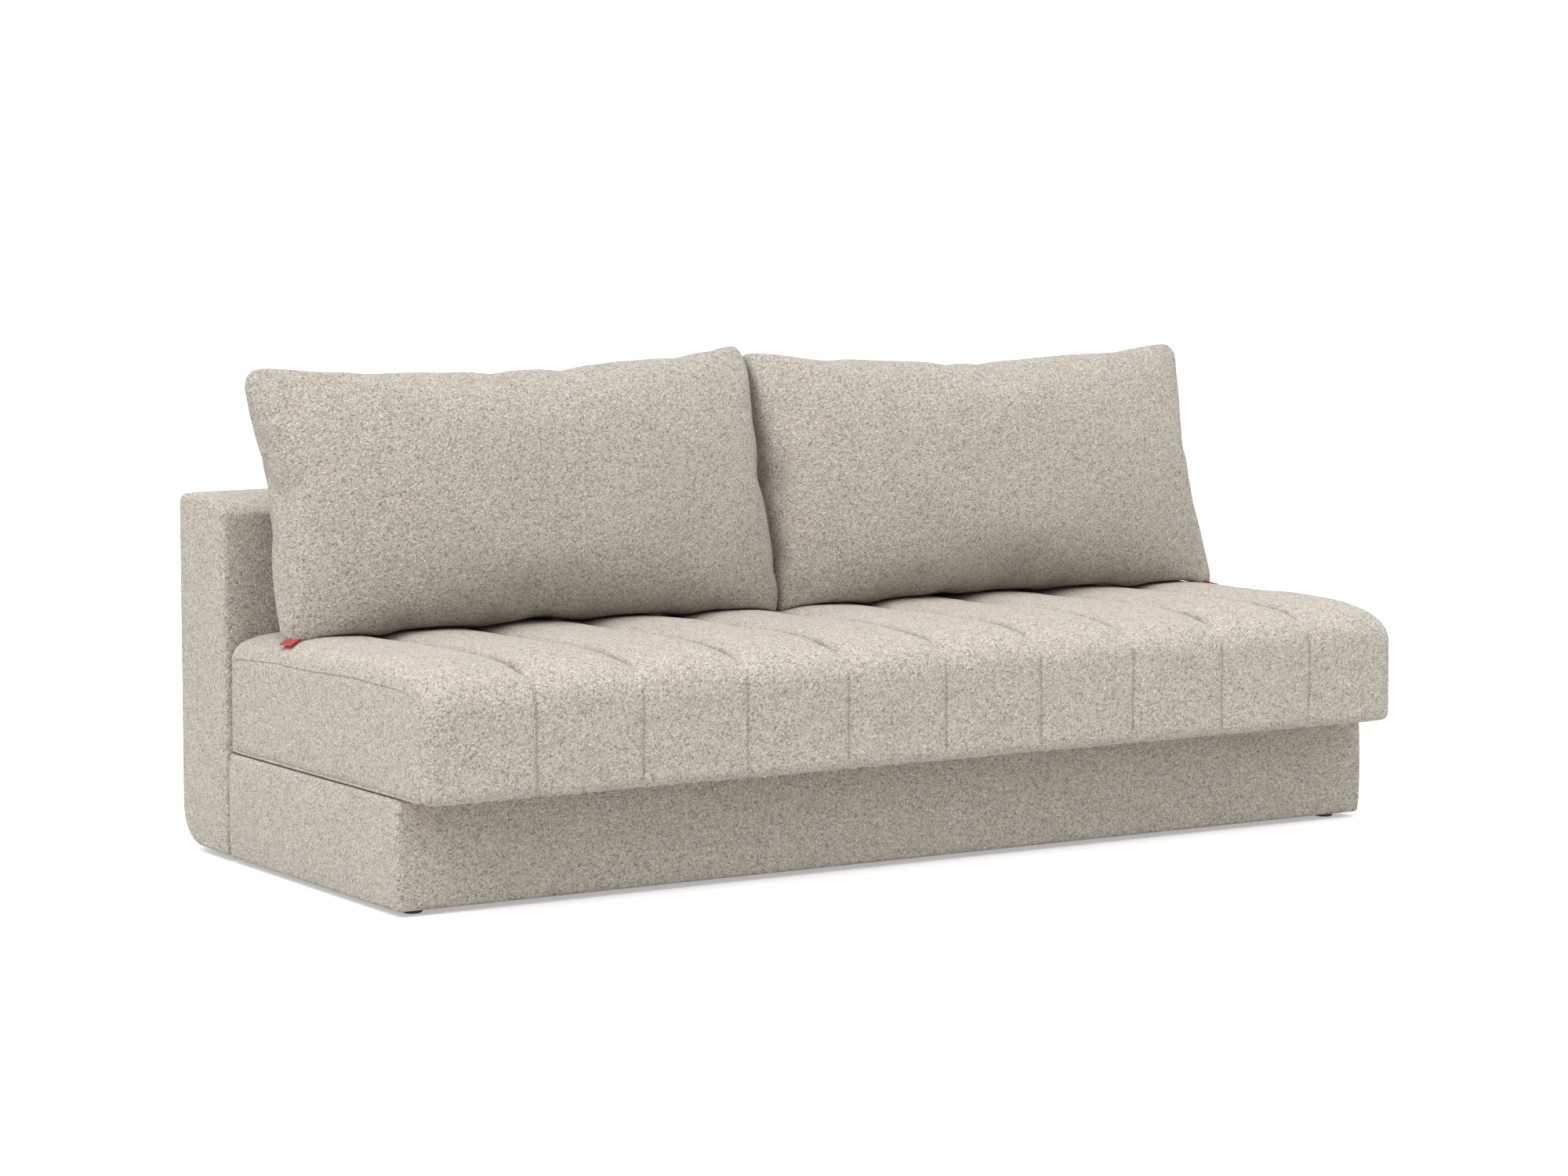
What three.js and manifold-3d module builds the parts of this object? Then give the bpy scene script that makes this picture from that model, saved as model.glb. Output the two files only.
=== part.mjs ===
// Click-clack sofa bed: box base, channelled seat on swing links, back on swing arms, two loose pillows.
// Frame: +X to the right as seen from the front, -Y to the front, +Z up, millimetres.
// Drawn from the back panel's front face at floor level, then moved to the middle of the depth.
import * as THREE from 'three';
import { mergeVertices } from 'three/addons/utils/BufferGeometryUtils.js';
import Module from 'manifold-3d';

const wasm = await Module();
wasm.setup();

// Overall sizes
const halfWidth = 1000;
const backOverhang = 3;
const fitGap = 0.3;
const panelGap = 4;

// Base box
const baseDepth = 640;
const baseBottom = 9.6;
const baseTop = 191.9;
const baseBoard = 22;
const baseCornerRadius = 8;
const floorBoard = 15;
const postSize = 40;
const postDepthShare = 0.68;
const postTopInset = 20;
const glideRadius = 17;
const glideInset = 28;
const glideRim = 2;
const partitionBoard = 24;
const partitionMiddle = -170;
const partitionEndGap = 27;
const partitionTopDrop = 6;
const bumperHalfLength = 45;
const bumperHalfWidth = 10;
const bumperSpacing = 430;

// Seat
const seatFrontFace = -739;
const seatValleyHeight = 402;
const seatRearDrop = 6;
const seatRearRadius = 24;
const seatFrontRun = 219;
const seatFrontDrop = 76;
const seatFrontPower = 3.2;
const seatHemRadius = 12;
const seatEndRadius = 22;
const channelCount = 10;
const channelCrown = 14;
const channelFrontShare = 0.3;
const channelPower = 0.8;
const channelSteps = 4;
const seatTopSteps = 5;
const seatTurnSteps = 8;
const seatEndShares = [1 / 6, 1 / 2];
const seatWall = 25;
const seatDeckHeight = 262;
const seatRail = 32;
const slatThickness = 16;
const slatWidth = 90;
const slatCount = 6;
const slatEndInset = 132;

// Folding geometry
const seatTravel = 280;
const deckFaceHeight = 410;
const linkLeanDegrees = 45;
const linkBaseHeight = 80;
const rearLinkBase = -250;
const frontLinkBase = -480;
const backPivotDepth = 100;
const backPivotHeight = 40;
const armPivotOffset = 60;

// Mechanism stations across the width and stock sizes
const armInset = 65;
const armStock = 8;
const ratchetGap = 3;
const ratchetStock = 6;
const plateGap = 1;
const plateStock = 4;
const linkGap = 8;
const linkStock = 8;
const linkHalfWidth = 13;
const bracketGap = 9;
const bracketStock = 4;
const bracketMargin = 18;
const armHubRadius = 26;
const armEndRadius = 17;
const slotClearance = 4;
const shaftRadius = 9;
const tubeRadius = 11;
const tubeBore = 8;
const studRadius = 6;
const studHeadRadius = 9;
const studHead = 3;
const plateMargin = 26;
const flangeWidth = 34;

// Ratchet and pawl
const ratchetRootRadius = 38;
const ratchetRimRadius = 46;
const ratchetHubRadius = 19;
const ratchetTeeth = 4;
const ratchetToothStep = 14;
const ratchetLandingShare = 0.07;
const ratchetFirstTooth = 36;
const ratchetRimStart = -45;
const pawlPivotForward = 62;
const pawlPivotRise = 44;
const pawlHubRadius = 9;
const pawlTipRadius = 3;
const pawlTipTurn = 118;
const pawlClearance = 0.5;
const pawlStudRadius = 4;

// Back panel
const backBottom = 11;
const backTop = 629.5;
const backDepth = 191.6;
const backFrontRadius = 8;
const backTopRadius = 16;
const backHeelRadius = 86;
const backEndRadius = 12;
const padThickness = 24;
const shellWall = 18;
const backRail = 45;
const backRailDepth = 90;
const backMidRail = 60;
const hingeSideHeight = 135;
const hingeCheek = 4;
const hingeCheekHalfWidth = 20;
const cheekRiseShare = 1.5;
const lowRailClear = 9;
const lowRailRise = 2;
const slotFrontHeight = 114;
const slotRearHeight = 152;

// Pillows
const pillowInner = 3;
const pillowEndGap = 12;
const pillowFootDepth = -180;
const pillowHeadDepth = -56;
const pillowHeadHeight = 871;
const pillowSag = 26;
const pillowHalfThickness = 119;
const pillowFrontShare = 0.86;
const pillowFootSink = 22;
const pillowEdgeShare = 0.2;
const pillowEndInset = 14;
const pillowEndShare = 0.55;
const pillowSteps = 12;
const pillowRing = 44;
const pillowPower = 1.12;
const pillowCrease = 640;
const tabLength = 30;
const tabDepth = 14;
const tabThickness = 1.6;
const tabInset = 4;

// Derived positions
const backHalfWidth = halfWidth + backOverhang;
const armStation = halfWidth - armInset;
const ratchetStation = armStation - ratchetGap - ratchetStock;
const plateStation = ratchetStation - plateGap - plateStock;
const linkStation = plateStation - linkGap - linkStock;
const bracketStation = linkStation - bracketGap - bracketStock;
const partitionHalfWidth = plateStation - flangeWidth - partitionEndGap;
const slatSpread = bracketStation - slatEndInset;
const pillowOuter = halfWidth - pillowEndGap;
const baseFront = -panelGap - baseDepth;
const baseRear = -panelGap;
const baseInnerFront = baseFront + baseBoard + fitGap;
const baseInnerRear = baseRear - baseBoard - fitGap;
const baseInnerHalf = halfWidth - baseBoard - fitGap;
const floorBottom = baseBottom + fitGap;
const floorTop = floorBottom + floorBoard;
const seatBottom = baseTop + fitGap;
const seatRear = -panelGap;
const seatCrest = seatValleyHeight + channelCrown;
const linkLean = THREE.MathUtils.degToRad(linkLeanDegrees);
const linkLength = seatTravel / (2 * Math.sin(linkLean));
const linkReach = linkLength * Math.sin(linkLean);
const linkRise = linkLength * Math.cos(linkLean);
const seatPivotHeight = linkBaseHeight + linkRise;
const backPivot = new THREE.Vector2(backPivotDepth, backPivotHeight);
const backPivotFolded = new THREE.Vector2(
  backPivotHeight - backBottom - seatTravel,
  deckFaceHeight - backPivotDepth,
);
const pivotChord = backPivotFolded.clone().sub(backPivot);
const pivotNormal = new THREE.Vector2(-pivotChord.y, pivotChord.x).normalize();
const armPivot = backPivot.clone().lerp(backPivotFolded, 1 / 2).addScaledVector(pivotNormal, armPivotOffset);
const seatFrontCrown = channelCrown * channelFrontShare;
const rowShift = -(seatFrontFace - seatFrontCrown + backDepth) / 2;

// Shapes: a profile is a closed list of [y, z] points, drawn along X
const acrossX = new THREE.Matrix4().makeBasis(
  new THREE.Vector3(0, 1, 0),
  new THREE.Vector3(0, 0, 1),
  new THREE.Vector3(1, 0, 0),
);
const quarterTurn = 90;
const halfTurn = 2 * quarterTurn;
const fullTurn = 2 * halfTurn;
const roundSteps = 32;
const filletSteps = 5;
const endSteps = 3;
const leastCornerShare = 0.25;

function polar(y, z, radius, degrees) {
  const turn = THREE.MathUtils.degToRad(degrees);
  return [y + radius * Math.cos(turn), z + radius * Math.sin(turn)];
}

function arc(y, z, radius, from, to, steps = filletSteps) {
  const pitch = (to - from) / Math.max(steps, 1);
  return Array.from({ length: steps + 1 }, (_, i) => polar(y, z, radius, from + pitch * i));
}

function circle(y, z, radius, steps = roundSteps) {
  return Array.from({ length: steps }, (_, i) => polar(y, z, radius, (fullTurn * i) / steps));
}

function rectangle(y0, y1, z0, z1) {
  return [[y0, z0], [y1, z0], [y1, z1], [y0, z1]];
}

function roundedRectangle(y0, y1, z0, z1, frontLow, rearLow, rearHigh, frontHigh) {
  const steps = (radius) => (radius ? filletSteps : 0);
  const corner = (y, z, radius, from) => arc(y, z, radius, from, from + quarterTurn, steps(radius));
  return [
    ...corner(y0 + frontLow, z0 + frontLow, frontLow, halfTurn),
    ...corner(y1 - rearLow, z0 + rearLow, rearLow, -quarterTurn),
    ...corner(y1 - rearHigh, z1 - rearHigh, rearHigh, 0),
    ...corner(y0 + frontHigh, z1 - frontHigh, frontHigh, quarterTurn),
  ];
}

// A bar with two round ends, from one pivot to another
function bar(from, to, fromRadius, toRadius) {
  const lean = THREE.MathUtils.radToDeg(Math.atan2(to.y - from.y, to.x - from.x));
  return [
    ...arc(from.x, from.y, fromRadius, lean + quarterTurn, lean + quarterTurn + halfTurn, 2 * filletSteps),
    ...arc(to.x, to.y, toRadius, lean - quarterTurn, lean + quarterTurn, 2 * filletSteps),
  ];
}

function toShape(profile) {
  return new THREE.Shape(profile.map(([y, z]) => new THREE.Vector2(y, z)));
}

function prism(profile, x0, x1, holes = []) {
  const shape = toShape(profile);
  for (const hole of holes) {
    shape.holes.push(new THREE.Path(hole.map(([y, z]) => new THREE.Vector2(y, z))));
  }
  const geometry = new THREE.ExtrudeGeometry(shape, { depth: x1 - x0, bevelEnabled: false });
  geometry.applyMatrix4(acrossX);
  geometry.translate(x0, 0, 0);
  return geometry;
}

// A rounded board along X with rounded ends, whose front, rear, low and high faces go in by followShares
function softBoard(x0, x1, radius, [y0, y1, z0, z1], corners, followShares = [1, 1, 1, 1]) {
  const ring = (x, inset) => {
    const [front, rear, low, high] = followShares.map((share) => share * inset);
    const radii = corners.map((corner) => Math.max(corner - inset, corner * leastCornerShare));
    const profile = roundedRectangle(y0 + front, y1 - rear, z0 + low, z1 - high, ...radii);
    return profile.map(([y, z]) => [x, y, z]);
  };
  const rings = [];
  for (let i = 0; i <= endSteps; i += 1) {
    const turn = (Math.PI * i) / (2 * endSteps);
    rings.push(ring(x0 + radius * (1 - Math.sin(turn)), radius * (1 - Math.cos(turn))));
  }
  const farRings = rings.map((points) => points.map(([x, y, z]) => [x0 + x1 - x, y, z]));
  return loft([...rings.reverse(), ...farRings]);
}

function block(x0, x1, y0, y1, z0, z1) {
  return prism(rectangle(y0, y1, z0, z1), x0, x1);
}

function rod(y, z, radius, x0, x1) {
  return prism(circle(y, z, radius), x0, x1);
}

// Upright disc stack, profile given as [radius, height] from the axis out and back
function turned(x, y, profile) {
  const geometry = new THREE.LatheGeometry(profile.map(([r, z]) => new THREE.Vector2(r, z)), roundSteps);
  geometry.rotateX(Math.PI / 2);
  geometry.translate(x, y, 0);
  return geometry;
}

const weldShare = 0.001;
function clean(geometry) {
  const plain = geometry.clone();
  plain.deleteAttribute('normal');
  plain.deleteAttribute('uv');
  return mergeVertices(plain, fitGap * weldShare);
}

function toManifold(geometry) {
  const plain = clean(geometry);
  return new wasm.Manifold(new wasm.Mesh({
    numProp: 3,
    vertProperties: new Float32Array(plain.attributes.position.array),
    triVerts: new Uint32Array(plain.index.array),
  }));
}

function fromManifold(solid) {
  const mesh = solid.getMesh();
  const geometry = new THREE.BufferGeometry();
  geometry.setAttribute('position', new THREE.BufferAttribute(new Float32Array(mesh.vertProperties), 3));
  geometry.setIndex(new THREE.BufferAttribute(new Uint32Array(mesh.triVerts), 1));
  return geometry;
}

function cut(body, ...tools) {
  let solid = toManifold(body);
  for (const tool of tools) {
    solid = solid.subtract(toManifold(tool));
  }
  return fromManifold(solid);
}

function join(...bodies) {
  let solid = toManifold(bodies[0]);
  for (const body of bodies.slice(1)) {
    solid = solid.add(toManifold(body));
  }
  return fromManifold(solid);
}

function mirrored(geometry) {
  const copy = clean(geometry);
  copy.scale(-1, 1, 1);
  const index = copy.index.array;
  for (let i = 0; i < index.length; i += 3) {
    const first = index[i];
    index[i] = index[i + 2];
    index[i + 2] = first;
  }
  return copy;
}

// Rings of equal point count, joined into one closed skin with flat ends fanned from their middles
function loft(rings) {
  const count = rings[0].length;
  const mean = (ring, axis) => ring.reduce((sum, point) => sum + point[axis], 0) / count;
  const middle = (ring) => [0, 1, 2].map((axis) => mean(ring, axis));
  const last = rings.length - 1;
  const positions = [...rings.flat(), middle(rings[0]), middle(rings[last])].flat();
  const near = rings.length * count;
  const index = [];
  for (let i = 0; i < count; i += 1) {
    const next = (i + 1) % count;
    for (let r = 0; r < last; r += 1) {
      const a = r * count + i;
      const b = r * count + next;
      index.push(a, b, b + count, a, b + count, a + count);
    }
    index.push(near, next, i, near + 1, last * count + i, last * count + next);
  }
  const geometry = new THREE.BufferGeometry();
  geometry.setAttribute('position', new THREE.BufferAttribute(new Float32Array(positions), 3));
  geometry.setIndex(index);
  return geometry;
}

const sofa = new THREE.Group();
sofa.name = 'click_clack_sofa_bed';
const looks = {
  fabric: { color: 0xb9b1a3, roughness: 0.95, metalness: 0 },
  wood: { color: 0xc8a878, roughness: 0.7, metalness: 0 },
  steel: { color: 0x6d7074, roughness: 0.45, metalness: 0.9 },
  zinc: { color: 0xa9adb0, roughness: 0.35, metalness: 0.9 },
  black: { color: 0x1c1c1d, roughness: 0.6, metalness: 0 },
  rubber: { color: 0x29292a, roughness: 0.85, metalness: 0 },
  red: { color: 0xb01822, roughness: 0.9, metalness: 0 },
};

function piece(name, look, geometry) {
  const mesh = new THREE.Mesh(clean(geometry), new THREE.MeshStandardMaterial(looks[look]));
  mesh.name = name;
  mesh.geometry.translate(0, rowShift, 0);
  sofa.add(mesh);
}

function pair(name, look, geometry) {
  piece(`${name}_right`, look, geometry);
  piece(`${name}_left`, look, mirrored(geometry));
}

// Base box: four upholstered boards round a plywood floor
const armSlotInner = armStation - slotClearance;
const armSlotOuter = armStation + armStock + slotClearance;
const armSlope = (backPivot.y - armPivot.y) / (backPivot.x - armPivot.x);
const armLine = (depth) => armPivot.y + armSlope * (depth - armPivot.x);
const wallSlotFloor = armLine(baseRear) - armHubRadius - slotClearance;
const baseCorners = Array(4).fill(baseCornerRadius);
const baseBoardAt = (front) => softBoard(
  -halfWidth,
  halfWidth,
  baseCornerRadius,
  [front, front + baseBoard, baseBottom, baseTop],
  baseCorners,
);
const slotRear = seatRear + fitGap;
const slotTool = block(armSlotInner, armSlotOuter, baseInnerRear, slotRear, wallSlotFloor, seatBottom);
piece('base_front_board', 'fabric', baseBoardAt(baseFront));
piece('base_rear_board', 'fabric', cut(baseBoardAt(baseRear - baseBoard), slotTool, mirrored(slotTool)));
pair('base_side_board', 'fabric', block(
  baseInnerHalf + fitGap,
  halfWidth,
  baseInnerFront,
  baseInnerRear,
  baseBottom,
  baseTop,
));
piece('base_floor_board', 'wood', block(
  -baseInnerHalf,
  baseInnerHalf,
  baseInnerFront,
  baseInnerRear,
  floorBottom,
  floorTop,
));

const postDepth = postSize * postDepthShare;
const postTop = baseTop - postTopInset;
const cornerPost = (front) => block(
  baseInnerHalf - postDepth,
  baseInnerHalf,
  front,
  front + postSize,
  floorTop + fitGap,
  postTop,
);
pair('front_corner_post', 'wood', cornerPost(baseInnerFront));
pair('rear_corner_post', 'wood', cornerPost(baseInnerRear - postSize));

const glideX = halfWidth - glideInset - glideRadius;
const glideFront = baseFront + glideInset + glideRadius;
const glideRear = baseRear - glideInset - glideRadius;
const glideProfile = [
  [0, 0],
  [glideRadius - glideRim, 0],
  [glideRadius, glideRim],
  [glideRadius, baseBottom],
  [0, baseBottom],
];
pair('glide_front', 'black', turned(glideX, glideFront, glideProfile));
pair('glide_rear', 'black', turned(glideX, glideRear, glideProfile));

// Cross board with two rubber rests: they carry the back panel when it lies flat
const partitionTop = baseTop - partitionTopDrop;
const restTop = deckFaceHeight - backDepth - fitGap;
piece('base_cross_board', 'wood', block(
  -partitionHalfWidth,
  partitionHalfWidth,
  partitionMiddle - partitionBoard / 2,
  partitionMiddle + partitionBoard / 2,
  floorTop + fitGap,
  partitionTop,
));
pair('deck_rest', 'rubber', block(
  bumperSpacing - bumperHalfLength,
  bumperSpacing + bumperHalfLength,
  partitionMiddle - bumperHalfWidth,
  partitionMiddle + bumperHalfWidth,
  partitionTop + fitGap,
  restTop,
));

// Side plates: pressed angles on the floor, with headed studs for the links and a plain one for the pawl
const rearBasePivot = new THREE.Vector2(rearLinkBase, linkBaseHeight);
const frontBasePivot = new THREE.Vector2(frontLinkBase, linkBaseHeight);
const pawlPivot = new THREE.Vector2(armPivot.x - pawlPivotForward, armPivot.y + pawlPivotRise);
const plateFoot = floorTop + fitGap;
const plateProfile = [
  [frontLinkBase - plateMargin, plateFoot],
  [armPivot.x + plateMargin, plateFoot],
  [armPivot.x + plateMargin, armPivot.y + plateMargin],
  [armPivot.x, pawlPivot.y + plateMargin / 2],
  [pawlPivot.x - plateMargin / 2, pawlPivot.y + plateMargin / 2],
  [rearLinkBase - plateMargin, linkBaseHeight + plateMargin],
  [frontLinkBase - plateMargin, linkBaseHeight + plateMargin],
];
const plateWall = prism(plateProfile, plateStation, plateStation + plateStock, [
  circle(armPivot.x, armPivot.y, tubeRadius + fitGap),
]);
const plateFlange = block(
  plateStation - flangeWidth,
  plateStation + plateStock,
  frontLinkBase - plateMargin,
  armPivot.x + plateMargin,
  plateFoot,
  plateFoot + plateStock,
);
function headedStud({ x, y }) {
  const neck = linkStation - fitGap;
  const shank = rod(x, y, studRadius, neck, plateStation + fitGap);
  return join(shank, rod(x, y, studHeadRadius, neck - studHead, neck));
}
const pawlStud = rod(
  pawlPivot.x,
  pawlPivot.y,
  pawlStudRadius,
  plateStation + fitGap,
  armStation - fitGap,
);
const linkStuds = [rearBasePivot, frontBasePivot].map(headedStud);
pair('side_plate', 'steel', join(plateWall, plateFlange, ...linkStuds, pawlStud));

// Swing links: front and rear pairs, each pair on one full-width shaft through the seat brackets
const rearSeatPivot = new THREE.Vector2(rearLinkBase + linkReach, seatPivotHeight);
const frontSeatPivot = new THREE.Vector2(frontLinkBase + linkReach, seatPivotHeight);
function link(basePivot, seatPivot) {
  const outline = bar(basePivot, seatPivot, linkHalfWidth, linkHalfWidth);
  return prism(outline, linkStation, linkStation + linkStock, [
    circle(basePivot.x, basePivot.y, studRadius + fitGap),
    circle(seatPivot.x, seatPivot.y, shaftRadius + fitGap),
  ]);
}
const shaftHalf = linkStation + linkStock;
const linkShaft = ({ x, y }) => rod(x, y, shaftRadius, -shaftHalf, shaftHalf);
pair('rear_link', 'steel', link(rearBasePivot, rearSeatPivot));
piece('rear_link_shaft', 'zinc', linkShaft(rearSeatPivot));
pair('front_link', 'steel', link(frontBasePivot, frontSeatPivot));
piece('front_link_shaft', 'zinc', linkShaft(frontSeatPivot));

// Swing arms on one tube, with a toothed sector at each end for the pawl
const tubeHalf = armStation + armStock;
const tubeHole = circle(armPivot.x, armPivot.y, tubeRadius + fitGap);
piece('arm_tube', 'steel', prism(circle(armPivot.x, armPivot.y, tubeRadius), -tubeHalf, tubeHalf, [
  circle(armPivot.x, armPivot.y, tubeBore),
]));
const armOutline = bar(armPivot, backPivot, armHubRadius, armEndRadius);
pair('swing_arm', 'steel', prism(armOutline, armStation, armStation + armStock, [
  tubeHole,
  circle(backPivot.x, backPivot.y, studRadius + fitGap),
]));

function ratchetProfile() {
  const rim = (from, to) => arc(armPivot.x, armPivot.y, ratchetRimRadius, from, to, 2 * filletSteps);
  const teeth = [];
  const lastTooth = ratchetFirstTooth + ratchetTeeth * ratchetToothStep;
  for (let turn = ratchetFirstTooth; turn < lastTooth; turn += ratchetToothStep) {
    teeth.push(polar(armPivot.x, armPivot.y, ratchetRootRadius, turn));
    teeth.push(polar(armPivot.x, armPivot.y, ratchetRimRadius, turn + ratchetToothStep));
  }
  const seat = polar(armPivot.x, armPivot.y, ratchetRootRadius, lastTooth);
  const rimEnd = pawlTipTurn + ratchetToothStep;
  const hubEnd = fullTurn + ratchetRimStart;
  const hub = arc(armPivot.x, armPivot.y, ratchetHubRadius, rimEnd, hubEnd, 2 * filletSteps);
  const landing = lastTooth + ratchetToothStep * ratchetLandingShare;
  return [...rim(ratchetRimStart, ratchetFirstTooth), ...teeth, seat, ...rim(landing, rimEnd), ...hub];
}
const ratchetEnd = ratchetStation + ratchetStock;
pair('ratchet_sector', 'steel', prism(ratchetProfile(), ratchetStation, ratchetEnd, [tubeHole]));

// Pawl: lies on the sector's rim by its own weight
const tipReach = ratchetRimRadius + pawlClearance + pawlTipRadius;
const pawlTip = new THREE.Vector2(...polar(armPivot.x, armPivot.y, tipReach, pawlTipTurn));
const pawlOutline = bar(pawlPivot, pawlTip, pawlHubRadius, pawlTipRadius);
pair('pawl', 'zinc', prism(pawlOutline, ratchetStation, ratchetEnd, [
  circle(pawlPivot.x, pawlPivot.y, pawlStudRadius + fitGap),
]));

// Seat frame: four rails, slats front to rear, and a bracket each side for the link shafts
const recessHalf = halfWidth - seatWall;
const recessFront = seatFrontFace + seatWall;
const recessRear = seatRear - seatWall;
const railTop = seatDeckHeight - fitGap;
const railLow = seatBottom + fitGap;
const sideRailInner = recessHalf - fitGap - seatRail;
piece('seat_front_rail', 'wood', block(
  -recessHalf + fitGap,
  recessHalf - fitGap,
  recessFront + fitGap,
  recessFront + fitGap + seatRail,
  railLow,
  railTop,
));
piece('seat_rear_rail', 'wood', block(
  -recessHalf + fitGap,
  recessHalf - fitGap,
  recessRear - fitGap - seatRail,
  recessRear - fitGap,
  railLow,
  railTop,
));
const railsInnerFront = recessFront + seatRail + 2 * fitGap;
const railsInnerRear = recessRear - seatRail - 2 * fitGap;
pair('seat_side_rail', 'wood', block(
  sideRailInner,
  recessHalf - fitGap,
  railsInnerFront,
  railsInnerRear,
  railLow,
  railTop,
));
for (let i = 0; i < slatCount; i += 1) {
  const middle = slatSpread * ((2 * i) / (slatCount - 1) - 1);
  piece(`seat_slat_${i + 1}`, 'wood', block(
    middle - slatWidth / 2,
    middle + slatWidth / 2,
    railsInnerFront,
    railsInnerRear,
    railTop - slatThickness,
    railTop,
  ));
}
const bracketTop = railTop - slatThickness - fitGap;
const bracketFront = frontSeatPivot.x - bracketMargin;
const bracketRear = railsInnerRear;
const bracketWall = prism(
  rectangle(bracketFront, bracketRear, seatPivotHeight - bracketMargin, bracketTop),
  bracketStation,
  bracketStation + bracketStock,
  [
    circle(rearSeatPivot.x, rearSeatPivot.y, shaftRadius + fitGap),
    circle(frontSeatPivot.x, frontSeatPivot.y, shaftRadius + fitGap),
  ],
);
const bracketFlange = block(
  slatSpread - slatWidth / 2,
  bracketStation + bracketStock,
  bracketFront,
  bracketRear,
  bracketTop - bracketStock,
  bracketTop,
);
pair('seat_bracket', 'steel', join(bracketWall, bracketFlange));

// Channelled seat: one sewn cover over foam, pulled down along the channel seams and wrapped round the frame
function seatProfile() {
  const points = [];
  const add = (y, z, out, crown, soft) => points.push({ y, z, out, crown, soft });
  add(seatRear, seatBottom, [1, 0], 0, 0);
  const rearTop = seatValleyHeight - seatRearDrop;
  const roundLow = rearTop - seatRearRadius;
  for (const [y, z] of arc(seatRear - seatRearRadius, roundLow, seatRearRadius, 0, quarterTurn)) {
    const rise = (z - roundLow) / seatRearRadius;
    add(y, z, [0, 1], rise * rise, rise);
  }
  const frontTurn = seatFrontFace + seatFrontRun;
  const topRear = seatRear - seatRearRadius;
  for (let i = 1; i < seatTopSteps; i += 1) {
    const y = topRear + ((frontTurn - topRear) * i) / seatTopSteps;
    add(y, seatValleyHeight, [0, 1], 1, 1);
  }
  for (let i = 0; i <= seatTurnSteps; i += 1) {
    const turn = (Math.PI * i) / (2 * seatTurnSteps);
    const power = 2 / seatFrontPower;
    const across = Math.sin(turn) ** power;
    const up = Math.cos(turn) ** power;
    const blend = 1 - i / seatTurnSteps;
    add(
      frontTurn - seatFrontRun * across,
      seatValleyHeight - seatFrontDrop * (1 - up),
      [-Math.sin(turn), Math.cos(turn)],
      channelFrontShare + (1 - channelFrontShare) * blend,
      1,
    );
  }
  add(seatFrontFace, (seatBottom + seatValleyHeight) / 2, [-1, 0], channelFrontShare, 1);
  const hemMiddle = [seatFrontFace + seatHemRadius, seatBottom + seatHemRadius];
  const hem = arc(...hemMiddle, seatHemRadius, halfTurn, halfTurn + quarterTurn, endSteps);
  hem.forEach(([y, z], i) => {
    add(y, z, [-1, 0], i ? 0 : channelFrontShare / 2, i < endSteps ? 1 / 2 : 0);
  });
  return points;
}

function channelHeight(x) {
  const pitch = (2 * halfWidth) / channelCount;
  return channelCrown * Math.abs(Math.sin((Math.PI * x) / pitch)) ** channelPower;
}

function seatRing(x, profile) {
  const fromEnd = halfWidth - Math.abs(x);
  const short = Math.max(seatEndRadius - fromEnd, 0);
  const inset = seatEndRadius - Math.sqrt(seatEndRadius ** 2 - short ** 2);
  return profile.map(({ y, z, out, crown, soft }) => {
    const lift = channelHeight(x) * crown - inset * soft;
    return [x, y + out[0] * lift, z + out[1] * lift];
  });
}

function seatStations() {
  const stations = [];
  const pitch = (2 * halfWidth) / channelCount;
  for (let i = 0; i <= channelCount * channelSteps; i += 1) {
    stations.push(-halfWidth + (pitch * i) / channelSteps);
  }
  for (const share of seatEndShares) {
    stations.push(halfWidth - seatEndRadius * share, -halfWidth + seatEndRadius * share);
  }
  return stations.sort((a, b) => a - b);
}
const seatOutline = seatProfile();
piece('seat_cushion', 'fabric', cut(
  loft(seatStations().map((x) => seatRing(x, seatOutline))),
  block(-recessHalf, recessHalf, recessFront, recessRear, baseBottom, seatDeckHeight),
));

// Back panel: a padded front with a heel block outside each arm slot, an upholstered shell and a bent heel board
const shellFront = padThickness + fitGap;
const backSlotProfile = [
  [-panelGap, 0],
  [backDepth + panelGap, 0],
  [backDepth + panelGap, slotRearHeight],
  [backPivotDepth, slotFrontHeight],
  [-panelGap, slotFrontHeight],
];
const cheekInner = armSlotInner - hingeCheek - fitGap;
const padSlot = prism(backSlotProfile, armSlotInner, armSlotOuter);
const cavityRear = backDepth - shellWall;
const cavityHeel = backHeelRadius - shellWall;
const cavityLow = backBottom + shellWall;
const cavityHigh = backTop - shellWall;
const cavityHalf = backHalfWidth - shellWall;
const shellFoot = slotRearHeight + fitGap;
const shellBoard = (front) => softBoard(
  -backHalfWidth,
  backHalfWidth,
  backEndRadius,
  [front, backDepth, backBottom, backTop],
  [0, backHeelRadius, backTopRadius, 0],
  [0, 1, 1, 1],
);
const aboveHeel = block(-backHalfWidth, backHalfWidth, 0, backDepth, slotRearHeight, backTop);
const betweenSlots = block(-armSlotOuter, armSlotOuter, 0, backDepth, 0, backTop);
const stileRoom = block(
  -cavityHalf,
  cavityHalf,
  0,
  shellFront + backRailDepth + 2 * fitGap,
  hingeSideHeight - fitGap,
  backTop,
);
const frontBoard = softBoard(
  -backHalfWidth,
  backHalfWidth,
  backFrontRadius,
  [0, padThickness, backBottom, backTop],
  [backFrontRadius, 0, 0, backFrontRadius],
  [1, 0, 1, 1],
);
const heelBlocks = cut(shellBoard(padThickness / 2), aboveHeel, betweenSlots, stileRoom);
piece('back_front_pad', 'fabric', cut(join(frontBoard, heelBlocks), padSlot, mirrored(padSlot)));
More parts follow.
